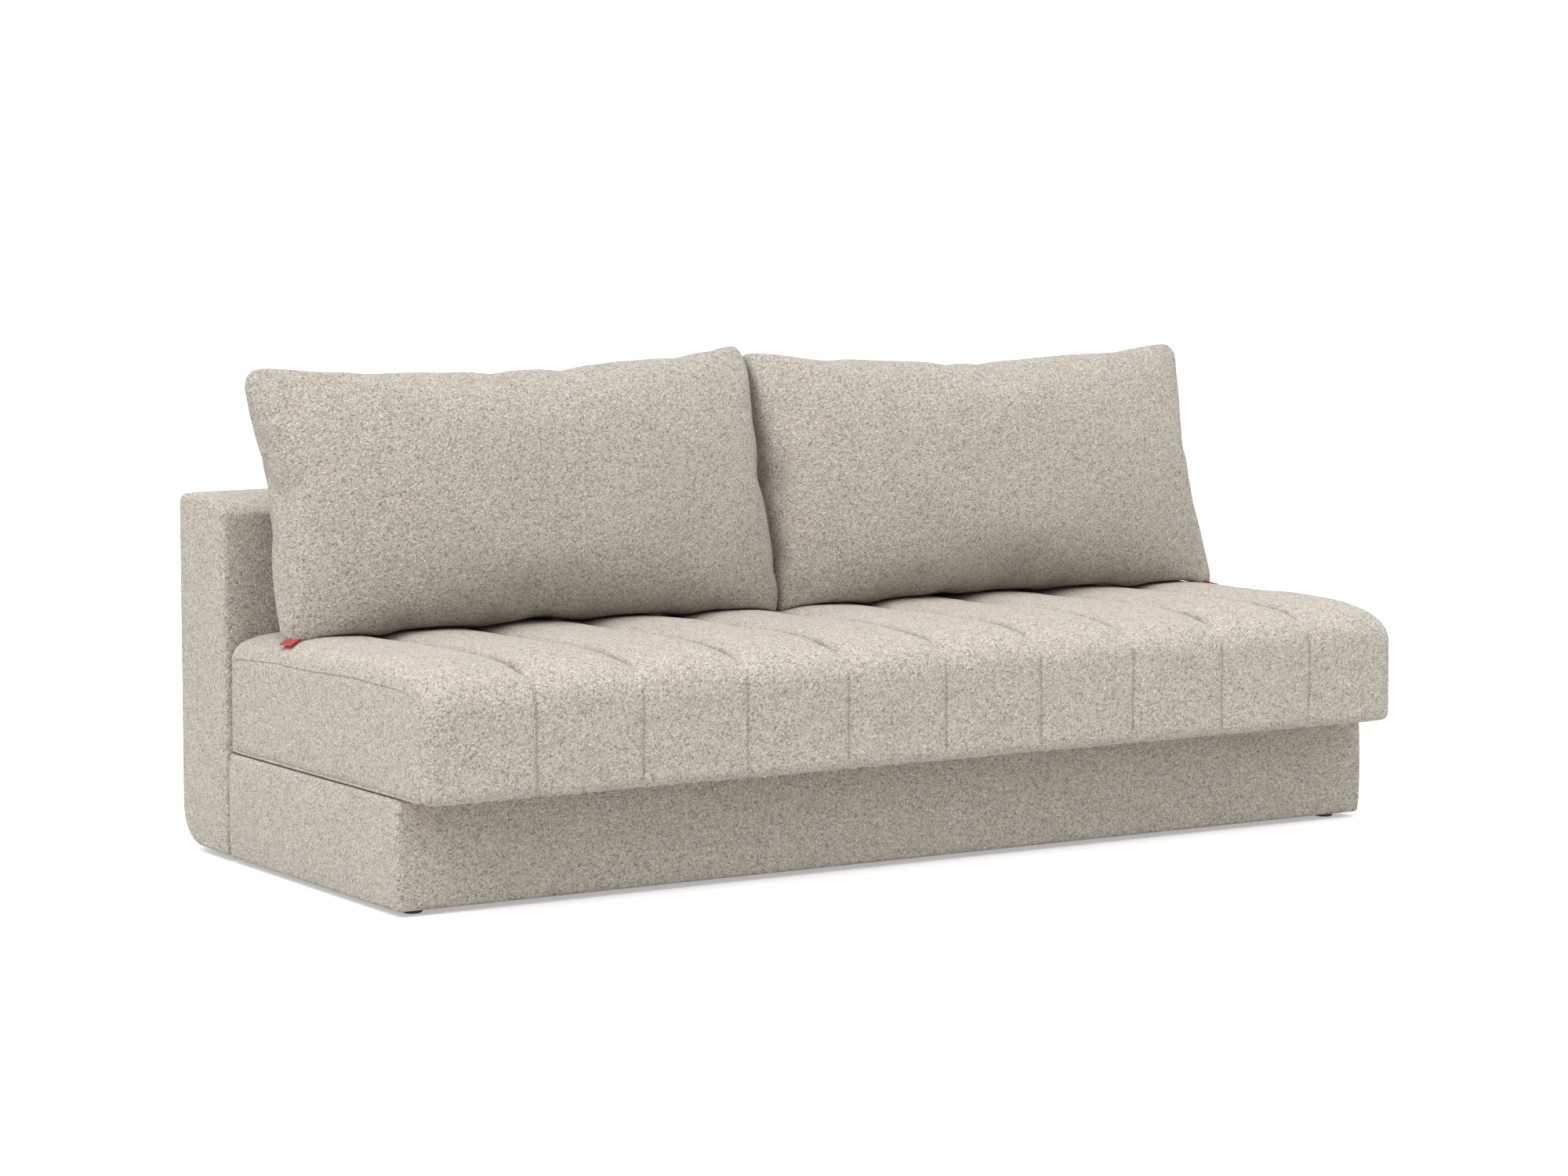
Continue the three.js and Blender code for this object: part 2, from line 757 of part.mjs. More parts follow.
const shellFloor = block(-backHalfWidth, backHalfWidth, 0, backDepth, 0, shellFoot);
piece('back_shell', 'fabric', cut(
  shellBoard(shellFront),
  block(-cavityHalf, cavityHalf, 0, cavityRear, 0, cavityHigh),
  shellFloor,
));

const heelHalf = cheekInner - fitGap;
const heelMiddle = [backDepth - backHeelRadius, backBottom + backHeelRadius];
piece('back_heel', 'fabric', prism([
  [shellFront, backBottom],
  ...arc(...heelMiddle, backHeelRadius, -quarterTurn, 0, 2 * filletSteps),
  [backDepth, slotRearHeight],
  [cavityRear, slotRearHeight],
  ...arc(...heelMiddle, cavityHeel, 0, -quarterTurn, 2 * filletSteps),
  [shellFront, cavityLow],
], -heelHalf, heelHalf));

// Timber frame inside the back
const frameFront = shellFront + fitGap;
const frameRear = frameFront + backRailDepth;
const frameHalf = cavityHalf - fitGap;
const frameTop = cavityHigh - fitGap;
const lowRailHalf = armSlotInner - hingeCheek - lowRailClear;
const lowRailBottom = cavityLow + lowRailRise;
const topRailLow = frameTop - backRail;
piece('back_top_rail', 'wood', block(-frameHalf, frameHalf, frameFront, frameRear, topRailLow, frameTop));
piece('back_bottom_rail', 'wood', block(
  -lowRailHalf,
  lowRailHalf,
  frameFront,
  frameRear,
  lowRailBottom,
  lowRailBottom + backRail,
));
const stileTop = topRailLow - fitGap;
pair('back_side_stile', 'wood', block(
  armSlotInner,
  frameHalf,
  frameFront,
  frameRear,
  hingeSideHeight,
  stileTop,
));
piece('back_centre_stile', 'wood', block(
  -backMidRail / 2,
  backMidRail / 2,
  frameFront,
  frameRear,
  lowRailBottom + backRail + fitGap,
  stileTop,
));

// Hinge cheeks: two steel straps each side hold the pin that the swing arm carries the back by
const cheekTop = hingeSideHeight * cheekRiseShare;
const cheekProfile = [
  ...arc(backPivot.x, backPivot.y, hingeCheekHalfWidth, halfTurn, fullTurn, 2 * filletSteps),
  [backPivot.x + hingeCheekHalfWidth - fitGap, cheekTop],
  [backPivot.x - 2 * hingeCheekHalfWidth, cheekTop],
];
const cheekHole = [circle(backPivot.x, backPivot.y, studRadius + fitGap)];
pair('hinge_cheek', 'steel', prism(cheekProfile, cheekInner, cheekInner + hingeCheek, cheekHole));
const pinEnd = armStation + armStock + slotClearance / 2;
const hingePin = join(
  rod(backPivot.x, backPivot.y, studRadius, cheekInner - studHead, pinEnd),
  rod(backPivot.x, backPivot.y, studHeadRadius, cheekInner - fitGap - studHead, cheekInner - fitGap),
);
pair('back_hinge_pin', 'zinc', hingePin);

// Pillows: knife-edged feather pillows that lean on the back, foot on the seat
const pillowRun = new THREE.Vector2(pillowHeadDepth - pillowFootDepth, pillowHeadHeight - seatCrest);
const pillowLean = pillowRun.clone().normalize();
const pillowOut = new THREE.Vector2(-pillowLean.y, pillowLean.x);
const pillowSeam = new THREE.Vector2(pillowFootDepth, seatCrest);
const pillowFoot = pillowSeam.addScaledVector(pillowLean, -pillowFootSink);
const pillowLength = pillowRun.length() + pillowFootSink;
const pillowMiddle = (pillowInner + pillowOuter) / 2;
const pillowHalf = (pillowOuter - pillowInner) / 2;
const pillowSeat = seatCrest + fitGap;

function pillowRingAt(share) {
  const wide = Math.abs(share);
  const full = (1 - wide ** 4) ** (1 / 2);
  const thickness = pillowHalfThickness * (pillowEdgeShare + (1 - pillowEdgeShare) * full);
  const closing = Math.max(0, (wide - (1 - 1 / pillowSteps)) * pillowSteps);
  const length = pillowLength - pillowSag * (1 - wide ** 3) - pillowEndInset * closing;
  const slim = 1 - closing * (1 - pillowEndShare);
  const ring = [];
  for (let i = 0; i < pillowRing; i += 1) {
    const turn = (2 * Math.PI * i) / pillowRing;
    const along = (length * (1 - Math.cos(turn))) / 2;
    const side = Math.sin(turn);
    const bulge = thickness * slim * Math.abs(side) ** pillowPower;
    const out = side > 0 ? -bulge : bulge * pillowFrontShare;
    const point = pillowFoot.clone().addScaledVector(pillowLean, along).addScaledVector(pillowOut, out);
    const sunk = Math.max(pillowSeat - point.y, 0);
    point.addScaledVector(pillowLean, sunk / pillowLean.y);
    const rearLimit = point.y < pillowCrease ? -fitGap : backDepth;
    ring.push([pillowMiddle + pillowHalf * share, Math.min(point.x, rearLimit), point.y]);
  }
  return ring;
}

function pillowShares() {
  const shares = [];
  for (let i = -pillowSteps; i <= pillowSteps; i += 1) {
    const even = i / pillowSteps;
    shares.push(Math.sign(even) * (1 - (1 - Math.abs(even)) ** (3 / 2)));
  }
  return shares;
}
pair('pillow', 'fabric', loft(pillowShares().map(pillowRingAt)));

// Plain woven tab at each pillow's outer foot corner, sewn into the foot seam and lying on the seat
const tabOuter = pillowOuter - tabInset;
const tabInner = tabOuter - tabLength;
const tabTop = pillowSeat + tabThickness;
function pillowFrontAt(x, height) {
  const front = pillowRingAt((x - pillowMiddle) / pillowHalf).slice(pillowRing / 2).reverse();
  const above = front.findIndex(([, , z]) => z > height);
  const [, y0, z0] = front[above - 1];
  const [, y1, z1] = front[above];
  return y0 + ((y1 - y0) * (height - z0)) / (z1 - z0);
}
const tabRear = Math.min(pillowFrontAt(tabInner, tabTop), pillowFrontAt(tabOuter, tabTop)) - fitGap;
pair('pillow_tab', 'red', block(tabInner, tabOuter, tabRear - tabDepth, tabRear, pillowSeat, tabTop));

export default sofa;
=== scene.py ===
# Click-clack sofa bed with a channelled seat, a full-height back panel and two loose pillows.
# Metres, in the frame's own axes: +X to the right from the front, -Y to the front, +Z up.
import bpy
import bmesh
import math
from mathutils import Matrix, Vector, noise


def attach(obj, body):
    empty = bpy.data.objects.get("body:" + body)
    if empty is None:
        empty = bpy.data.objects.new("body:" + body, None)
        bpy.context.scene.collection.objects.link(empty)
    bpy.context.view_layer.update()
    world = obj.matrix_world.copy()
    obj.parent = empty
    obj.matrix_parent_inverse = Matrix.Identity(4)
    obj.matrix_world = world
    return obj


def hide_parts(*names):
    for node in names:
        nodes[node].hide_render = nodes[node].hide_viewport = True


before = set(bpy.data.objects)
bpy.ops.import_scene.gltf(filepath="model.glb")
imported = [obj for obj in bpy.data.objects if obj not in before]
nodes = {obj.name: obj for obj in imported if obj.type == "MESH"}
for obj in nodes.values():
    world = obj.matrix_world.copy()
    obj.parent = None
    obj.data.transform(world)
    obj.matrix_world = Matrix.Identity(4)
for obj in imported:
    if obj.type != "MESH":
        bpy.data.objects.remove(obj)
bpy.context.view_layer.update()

# The photograph's view: a long lens at chest height, to the left of the sofa's front.
# Found from the edges of the box base and the back panel.
def set_all(thing, **settings):
    for key, value in settings.items():
        setattr(thing, key, value)
    return thing

def placed(name, data):
    made = bpy.data.objects.new(name, data)
    bpy.context.scene.collection.objects.link(made)
    return made

view_place = (-3.9688, -6.1954, 1.1963)
view_turn = math.radians(-32.407)
view_tilt = math.radians(90 - 5.789)
view_roll = math.radians(0.09)
view_turns = (Matrix.Rotation(view_turn, 4, "Z") @ Matrix.Rotation(view_tilt, 4, "X")
              @ Matrix.Rotation(view_roll, 4, "Z"))
view_data = set_all(bpy.data.cameras.new("photograph_view"), sensor_width=36, lens=94.2, clip_end=100)
photograph_view = placed("photograph_view", view_data)
photograph_view.matrix_world = Matrix.Translation(view_place) @ view_turns
bpy.context.scene.camera = photograph_view
bpy.context.scene.view_settings.view_transform = "Standard"

# Studio: a pale plain floor that keeps the shadow, a white surround, and two broad soft lamps.
# The surround and the floor show white to the camera and in gloss, and light the cloth plainly.
def set_inputs(tree, node, values):
    for key, value in values.items():
        if isinstance(value, bpy.types.NodeSocket):
            tree.links.new(value, node.inputs[key])
        else:
            node.inputs[key].default_value = value

def add_node(tree, kind, values={}, **settings):
    made = set_all(tree.nodes.new(kind), **settings)
    set_inputs(tree, made, values)
    return made

def maths(tree, operation, first, second=0.5):
    return add_node(tree, "ShaderNodeMath", {0: first, 1: second}, operation=operation).outputs[0]

def ranged(tree, source, low, high, to_low, to_high, **settings):
    limits = {0: source, 1: low, 2: high, 3: to_low, 4: to_high}
    return add_node(tree, "ShaderNodeMapRange", limits, **settings).outputs[0]

def seen_directly(tree):
    rays = add_node(tree, "ShaderNodeLightPath").outputs
    eye_or_gloss = maths(tree, "MAXIMUM", rays["Is Camera Ray"], rays["Is Glossy Ray"])
    return maths(tree, "MAXIMUM", eye_or_gloss, rays["Is Transmission Ray"])

def bare_tree(owner):
    owner.use_nodes = True
    owner.node_tree.nodes.clear()
    return owner.node_tree

white = (1, 1, 1, 1)
air_below, air_above = 0.28, 1.62
surround = bpy.data.worlds.new("surround")
bpy.context.scene.world = surround
air = bare_tree(surround)
air_way = add_node(air, "ShaderNodeTexCoord").outputs["Generated"]
air_height = add_node(air, "ShaderNodeSeparateXYZ", {0: air_way}).outputs["Z"]
air_level = ranged(air, air_height, 0, 1, air_below, air_above)
surround_light = add_node(air, "ShaderNodeBackground", {"Color": (1, 0.99, 0.975, 1), "Strength": air_level})
surround_white = add_node(air, "ShaderNodeBackground", {"Color": white, "Strength": 1.0})
surround_mix = add_node(air, "ShaderNodeMixShader", {
    0: seen_directly(air), 1: surround_light.outputs[0], 2: surround_white.outputs[0]})
add_node(air, "ShaderNodeOutputWorld", {"Surface": surround_mix.outputs[0]})

floor_grey, floor_bounce, floor_glow_level = 0.68, 0.71, 0.40
floor_paint = bpy.data.materials.new("floor_paint")
paint = bare_tree(floor_paint)
paint_rays = add_node(paint, "ShaderNodeLightPath").outputs
floor_colour = ranged(paint, paint_rays["Is Diffuse Ray"], 0, 1, floor_grey, floor_bounce)
floor_matt = add_node(paint, "ShaderNodeBsdfDiffuse", {"Color": floor_colour})
floor_lift = maths(paint, "MULTIPLY", seen_directly(paint), floor_glow_level)
floor_glow = add_node(paint, "ShaderNodeEmission", {"Color": white, "Strength": floor_lift})
floor_sum = add_node(paint, "ShaderNodeAddShader", {0: floor_matt.outputs[0], 1: floor_glow.outputs[0]})
add_node(paint, "ShaderNodeOutputMaterial", {"Surface": floor_sum.outputs[0]})
floor_mesh = bpy.data.meshes.new("studio_floor")
floor_mesh.from_pydata([(-60, -60, 0), (60, -60, 0), (60, 60, 0), (-60, 60, 0)], [], [(0, 1, 2, 3)])
floor_mesh.materials.append(floor_paint)
studio_floor = placed("studio_floor", floor_mesh)

def broad_lamp(name, strength, spread, towards):
    data = set_all(bpy.data.lights.new(name, "SUN"), energy=strength, angle=math.radians(spread),
                   color=(1, 0.99, 0.97))
    placed(name, data).rotation_euler = Vector(towards).to_track_quat("Z", "Y").to_euler()

broad_lamp("left_lamp", 2.2, 50, (-0.49, -0.22, 0.85))
broad_lamp("front_lamp", 0.28, 40, (0.42, -0.64, 0.64))

# Boucle cloth: a woven ground with small curled loops, stone beige with darker and paler flecks.
# The same cloth covers base, seat, back and pillows; a piece's seam mark paints shade into a seam's valley.
def new_group(name, kind, inputs, outputs):
    group = bpy.data.node_groups.new(name, kind)
    for label, socket, *value in inputs:
        made = group.interface.new_socket(label, in_out="INPUT", socket_type="NodeSocket" + socket)
        if value:
            made.default_value = value[0]
    for label, socket in outputs:
        group.interface.new_socket(label, in_out="OUTPUT", socket_type="NodeSocket" + socket)
    return group, add_node(group, "NodeGroupInput").outputs, add_node(group, "NodeGroupOutput")

def vectors(tree, operation, first, second):
    place = "Scale" if operation == "SCALE" else 1
    return add_node(tree, "ShaderNodeVectorMath", {0: first, place: second}, operation=operation).outputs[0]

def noise_of(tree, place, scale, detail, output=0, **others):
    values = {"Vector": place, "Scale": scale, "Detail": detail, **others}
    return add_node(tree, "ShaderNodeTexNoise", values).outputs[output]

def object_place(tree):
    return add_node(tree, "ShaderNodeTexCoord").outputs["Object"]

def ramp(tree, source, stops):
    made = add_node(tree, "ShaderNodeValToRGB", {0: source})
    while len(made.color_ramp.elements) < len(stops):
        made.color_ramp.elements.new(0.5)
    for element, (place, colour) in zip(made.color_ramp.elements, stops):
        element.position = place
        element.color = (*colour, 1)
    return made.outputs["Color"]

loops_per_metre = 380
loop_curl = 0.006
loop_depth = 0.0017
tuft_share, fibre_share = 0.55, 0.3
# The pillows' copy of the cloth is painted darker, as shade against the extra light their leaning fronts
# catch.
stone_tone, pillow_shade_tone = 0.885, 0.81
boucle, boucle_in, boucle_out = new_group(
    "boucle_loops", "ShaderNodeTree",
    [("Loops per metre", "Float", 380.0), ("Tone", "Float", 1.0), ("Seam", "Float", 0.0)],
    [("Cloth colour", "Color"), ("Loop height", "Float"), ("Fuzz", "Float")])
cloth_place = object_place(boucle)
curl = vectors(boucle, "SUBTRACT", noise_of(boucle, cloth_place, 230, 1.0, "Color"), (0.5, 0.5, 0.5))
curled = vectors(boucle, "ADD", cloth_place, vectors(boucle, "SCALE", curl, loop_curl))
loop_cells = {"Vector": curled, "Scale": boucle_in["Loops per metre"]}
loops = add_node(boucle, "ShaderNodeTexVoronoi", loop_cells, feature="F1").outputs
loop_round = ranged(boucle, loops["Distance"], 0.1, 0.75, 1.0, 0.0, interpolation_type="SMOOTHSTEP")
fibre = noise_of(boucle, cloth_place, 850, 2.0)
tuft = noise_of(boucle, cloth_place, 140, 1.5)
loop_height = maths(boucle, "ADD", loop_round, maths(boucle, "MULTIPLY", tuft, tuft_share))
loop_height = maths(boucle, "ADD", loop_height, maths(boucle, "MULTIPLY", fibre, fibre_share))
fleck = add_node(boucle, "ShaderNodeSeparateColor", {0: loops["Color"]}).outputs
fleck_colour = ramp(boucle, fleck[0], [
    (0.0, (0.32, 0.293, 0.252)), (0.19, (0.535, 0.497, 0.434)), (0.5, (0.672, 0.627, 0.553)),
    (0.81, (0.75, 0.703, 0.624)), (1.0, (0.885, 0.836, 0.755))])
fleck_tint = ramp(boucle, fleck[1], [(0.0, (1.012, 1.0, 0.985)), (1.0, (0.988, 1.0, 1.012))])
patch = noise_of(boucle, cloth_place, 16, 2.0)
mottle = noise_of(boucle, cloth_place, 55, 2.0)
mottle_tint = ramp(boucle, mottle, [(0.35, (0.99, 0.998, 0.99)), (0.65, (1.008, 1.001, 0.992))])
# Painted shade in the pile: the cloth's colour is darkened in the gaps between loops.
shade = boucle_in["Tone"]
# The Seam input is painted shade: it darkens the cloth's colour to half at the bottom of a seam.
for source, limits in ((loop_round, (0.0, 0.6, 0.70, 1.0)), (patch, (0.3, 0.7, 0.985, 1.015)),
                       (tuft, (0.3, 0.7, 0.97, 1.03)), (boucle_in["Seam"], (0.0, 1.0, 1.0, 0.5))):
    shade = maths(boucle, "MULTIPLY", shade, ranged(boucle, source, *limits))
tinted = vectors(boucle, "MULTIPLY", vectors(boucle, "MULTIPLY", fleck_colour, fleck_tint), mottle_tint)
set_inputs(boucle, boucle_out, {
    "Cloth colour": vectors(boucle, "SCALE", tinted, shade), "Loop height": loop_height, "Fuzz": fibre})

def new_material(name):
    made = bpy.data.materials.new(name)
    tree = bare_tree(made)
    shader = add_node(tree, "ShaderNodeBsdfPrincipled")
    add_node(tree, "ShaderNodeOutputMaterial", {"Surface": shader.outputs[0]})
    return made, tree, shader

def fit_finish(tree, shader, colour, rough, height, depth, strength, others={}):
    bump = add_node(tree, "ShaderNodeBump", {"Height": height, "Distance": depth, "Strength": strength})
    set_inputs(tree, shader, {"Base Color": colour, "Roughness": rough, "Normal": bump.outputs[0], **others})

def boucle_finish(name, tone):
    made, tree, shader = new_material(name)
    # The seam attribute holds painted shade for seam valleys and the side's boxing crease.
    painted_seam_shade = add_node(tree, "ShaderNodeAttribute", attribute_name="seam").outputs["Fac"]
    settings = {"Loops per metre": loops_per_metre, "Tone": tone, "Seam": painted_seam_shade}
    cloth = add_node(tree, "ShaderNodeGroup", settings, node_tree=boucle).outputs
    fit_finish(tree, shader, cloth["Cloth colour"], ranged(tree, cloth["Fuzz"], 0, 1, 0.86, 1.0),
               cloth["Loop height"], loop_depth, 1.0,
               {"Specular IOR Level": 0.2, "Sheen Weight": 0.12, "Sheen Roughness": 0.6})
    return made

stone_boucle = boucle_finish("stone_boucle", stone_tone)

# Base box inside: a birch plywood floor, pine posts glued into the corners, and a pine cross board.
# Sawn and left bare, the grain running along each piece; the box stands on four moulded glides.
grain, grain_in, grain_out = new_group(
    "timber_grain", "ShaderNodeTree",
    [("Place", "Vector", (0, 0, 0)), ("Pale wood", "Color", white), ("Dark wood", "Color", white),
     ("Rings", "Float", 9.0)],
    [("Timber colour", "Color"), ("Grain height", "Float")])
growth = noise_of(grain, grain_in["Place"], 11, 2, Distortion=0.5)
ring_step = maths(grain, "FRACT", maths(grain, "MULTIPLY", growth, grain_in["Rings"]))
late_wood = ramp(grain, ring_step, [
    (0.0, (0.1, 0.1, 0.1)), (0.7, (0.45, 0.45, 0.45)), (0.93, (1, 1, 1)), (1.0, (0.1, 0.1, 0.1))])
strand = noise_of(grain, grain_in["Place"], 380, 3)
strand_shade = ranged(grain, strand, 0.3, 0.7, 0.86, 1.08)
wood_mix = add_node(grain, "ShaderNodeMix", {
    "Factor": late_wood, 6: grain_in["Pale wood"], 7: grain_in["Dark wood"]}, data_type="RGBA")
set_inputs(grain, grain_out, {
    "Timber colour": vectors(grain, "SCALE", wood_mix.outputs[2], strand_shade),
    "Grain height": maths(grain, "ADD", strand, late_wood)})

def timber(name, stretch, pale, dark, rings):
    made, tree, shader = new_material(name)
    along = add_node(tree, "ShaderNodeMapping", {"Vector": object_place(tree), "Scale": stretch})
    settings = {"Place": along.outputs[0], "Pale wood": (*pale, 1), "Dark wood": (*dark, 1), "Rings": rings}
    wood = add_node(tree, "ShaderNodeGroup", settings, node_tree=grain).outputs
    rough = ranged(tree, wood["Grain height"], 0.3, 1.7, 0.72, 0.55)
    fit_finish(tree, shader, wood["Timber colour"], rough, wood["Grain height"], 0.0004, 0.6,
               {"Specular IOR Level": 0.35})
    return made

def finish_nodes(material, *names):
    for name in names:
        for kept in nodes[name].material_slots:
            kept.material = material

both = ("_right", "_left")
pine_pale, pine_dark = (0.72, 0.55, 0.36), (0.50, 0.33, 0.18)
birch_pale, birch_dark = (0.76, 0.62, 0.44), (0.64, 0.48, 0.31)
birch_floor = timber("birch_ply_floor", (0.05, 1, 1), birch_pale, birch_dark, 6)
pine_across = timber("pine_across", (0.05, 1, 1), pine_pale, pine_dark, 11)
pine_deep = timber("pine_front_to_rear", (1, 0.05, 1), pine_pale, pine_dark, 11)
pine_upright = timber("pine_upright", (1, 1, 0.05), pine_pale, pine_dark, 11)
finish_nodes(birch_floor, "base_floor_board")
finish_nodes(pine_across, "base_cross_board")
finish_nodes(pine_upright, *[row + "_corner_post" + word for row in ("front", "rear") for word in both])

def moulded(name, colour, grain_scale, depth, rough_from, rough_to):
    made, tree, shader = new_material(name)
    place = object_place(tree)
    cells = {"Vector": place, "Scale": grain_scale}
    pebble = add_node(tree, "ShaderNodeTexVoronoi", cells, feature="SMOOTH_F1")
    scuff = noise_of(tree, place, 90, 4)
    worn = ramp(tree, scuff, [(0.35, colour), (0.75, tuple(2.2 * part + 0.01 for part in colour))])
    rough = ranged(tree, scuff, 0.3, 0.7, rough_from, rough_to)
    fit_finish(tree, shader, worn, rough, pebble.outputs["Distance"], depth, 0.5)
    return made

black_glide = moulded("black_glide", (0.022, 0.022, 0.023), 1600, 0.0002, 0.42, 0.6)
black_rubber = moulded("black_rubber", (0.035, 0.035, 0.034), 900, 0.0004, 0.75, 0.95)
finish_nodes(black_glide, *["glide_" + row + word for row in ("front", "rear") for word in both])
finish_nodes(black_rubber, *["deck_rest" + word for word in both])

# Base cover: one strip of boucle pulled round the four boards of the box, with soft edges and corners.
# The rear board keeps its two slots for the swing arms.
base_front_y, base_back_y = -0.3682, 0.2718
base_low_z, base_high_z = 0.0096, 0.1919
base_half = 1.004
board = 0.022
base_corner = 0.009
base_edge = 0.007
cloth_pitch = 0.02
front_puff, side_puff = 0.0008, 0.0022

def soft_noise(place, scale, size, seed=0.0):
    return noise.noise(Vector(place) * scale + Vector((seed, seed * 1.7, -seed))) * size

def clamp(value, low=0, high=1):
    return min(max(value, low), high)

def arc(along, up, radius, start, end, steps, first=0, rise=None):
    for i in range(first, steps + 1):
        turn = math.radians(start + (end - start) * i / steps)
        out = (math.cos(turn), math.sin(turn))
        yield along + radius * out[0], up + (rise or radius) * out[1], out

def base_path():
    path = []
    in_x, low_y, high_y = base_half - base_corner, base_front_y + base_corner, base_back_y - base_corner
    corners = [(in_x, high_y), (-in_x, high_y), (-in_x, low_y), (in_x, low_y)]
    for index, (x, y) in enumerate(corners):
        path += arc(x, y, base_corner, 90 * index, 90 * index + 90, 6)
        from_x, from_y, out = path[-1]
        next_x, next_y = corners[(index + 1) % 4]
        run_x, run_y = next_x + base_corner * out[0] - from_x, next_y + base_corner * out[1] - from_y
        steps = max(int(math.hypot(run_x, run_y) / cloth_pitch), 2)
        path += [(from_x + run_x * i / steps, from_y + run_y * i / steps, out) for i in range(1, steps)]
    return path

def base_section():
    rise = base_high_z - base_low_z - 2 * base_edge
    low = arc(-base_edge, base_low_z + base_edge, base_edge, -90, 0, 4)
    high = arc(-base_edge, base_high_z - base_edge, base_edge, 0, 90, 4)
    section = [(-depth, z, 0) for depth, z, out in low]
    for i in range(1, 14):
        section.append((0, base_low_z + base_edge + rise * i / 14, math.sin(math.pi * i / 14) ** 0.5))
    return section + [(-depth, z, 0) for depth, z, out in high]

def skin(shape, rows, closed=False):
    for first, second in zip(rows, rows[1:] + rows[:1] if closed else rows[1:]):
        for i in range(len(first)):
            j = (i + 1) % len(first)
            shape.faces.new((first[i], first[j], second[j], second[i]))
    if not closed:
        shape.faces.new(rows[0][::-1])
        shape.faces.new(rows[-1])
    bmesh.ops.remove_doubles(shape, verts=shape.verts, dist=1e-6)
    bmesh.ops.recalc_face_normals(shape, faces=shape.faces)

def mesh_of(shape, name):
    data = bpy.data.meshes.new(name)
    shape.to_mesh(data)
    shape.free()
    return data

shape = bmesh.new()
columns = []
for x, y, out in base_path():
    column = []
    for depth, z, puff in base_section():
        swell = front_puff + side_puff * abs(out[0])
        swell += soft_noise((x, y, z), 6, 0.0012, 3) + soft_noise((x, y, z), 22, 0.0006, 5)
        lift = puff * swell - depth
        column.append(shape.verts.new((x + out[0] * lift, y + out[1] * lift, z)))
    in_x = clamp(x, board - 1, 1 - board)
    in_y = clamp(y, base_front_y + board, base_back_y - board)
    column += [shape.verts.new((in_x, in_y, z)) for z in (base_high_z, base_low_z)]
    columns.append(column)
skin(shape, columns, closed=True)
base_cover = placed("base_cover", mesh_of(shape, "base_cover"))
base_cover.data.materials.append(stone_boucle)

def smooth_by_angle(made, degrees=40):
    made.data.shade_smooth()
    shape = bmesh.new()
    shape.from_mesh(made.data)
    for edge in shape.edges:
        if len(edge.link_faces) == 2 and edge.calc_face_angle(0) > math.radians(degrees):
            edge.smooth = False
    shape.to_mesh(made.data)
    shape.free()

def settle(made):
    held = bpy.context.evaluated_depsgraph_get()
    data = bpy.data.meshes.new_from_object(made.evaluated_get(held))
    made.modifiers.clear()
    made.data = data

slot_near, slot_far = 0.931, 0.947

def cut_arm_slots(made, outline):
    tools = []
    for side in (1, -1):
        shape = bmesh.new()
        skin(shape, [[shape.verts.new((side * x, y, z)) for y, z in outline] for x in (slot_near, slot_far)])
        tools.append(placed("slot_tool", mesh_of(shape, "slot_tool")))
        cutter = made.modifiers.new("cut", "BOOLEAN")
        set_all(cutter, operation="DIFFERENCE", solver="EXACT", object=tools[-1])
    settle(made)
    for tool in tools:
        bpy.data.objects.remove(tool)

board_points = [vertex.co for vertex in nodes["base_rear_board"].data.vertices]
wall_slot_z = min(point.z for point in board_points
                  if slot_near - 0.001 < abs(point.x) < slot_far + 0.001 and point.z > base_low_z + 0.02)
cut_arm_slots(base_cover, [(0.24, wall_slot_z), (0.28, wall_slot_z), (0.28, 0.21), (0.24, 0.21)])
smooth_by_angle(base_cover)
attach(base_cover, "base")
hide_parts("base_front_board", "base_rear_board",
            "base_side_board_right", "base_side_board_left")

# Click-clack fitting: pressed steel plates, links, arms, toothed sectors and a cross tube, powder coated
# dark grey. Shafts, pawls and pins are zinc plated, and pan-head screws hold the plates to the floor board.
powder_coat, coat_tree, coat_shader = new_material("powder_coat")
coat_place = object_place(coat_tree)
coat_wear = noise_of(coat_tree, coat_place, 55, 5)
coat_colour = ramp(coat_tree, coat_wear, [
    (0.3, (0.145, 0.15, 0.155)), (0.62, (0.165, 0.17, 0.175)), (0.8, (0.24, 0.24, 0.24))])
coat_rough = ranged(coat_tree, coat_wear, 0.3, 0.7, 0.36, 0.5)
orange_peel = noise_of(coat_tree, coat_place, 620, 1.5)
fit_finish(coat_tree, coat_shader, coat_colour, coat_rough, orange_peel, 0.0003, 0.5)

bright_zinc, zinc_tree, zinc_shader = new_material("bright_zinc")
zinc_place = object_place(zinc_tree)
spangle = add_node(zinc_tree, "ShaderNodeTexVoronoi", {"Vector": zinc_place, "Scale": 260})
spangle_part = add_node(zinc_tree, "ShaderNodeSeparateColor", {0: spangle.outputs["Color"]})
zinc_colour = ramp(zinc_tree, spangle_part.outputs[0], [(0.0, (0.55, 0.57, 0.58)), (1.0, (0.69, 0.70, 0.70))])
turned_marks = noise_of(zinc_tree, zinc_place, 480, 3)
zinc_rough = ranged(zinc_tree, turned_marks, 0.3, 0.7, 0.24, 0.42)
fit_finish(zinc_tree, zinc_shader, zinc_colour, zinc_rough, turned_marks, 0.0002, 0.4, {"Metallic": 1.0})

finish_nodes(powder_coat, "arm_tube", *[part + word for word in both for part in (
    "side_plate", "rear_link", "front_link", "swing_arm", "ratchet_sector", "seat_bracket", "hinge_cheek")])
finish_nodes(bright_zinc, "rear_link_shaft", "front_link_shaft",
             *[part + word for word in both for part in ("pawl", "back_hinge_pin")])

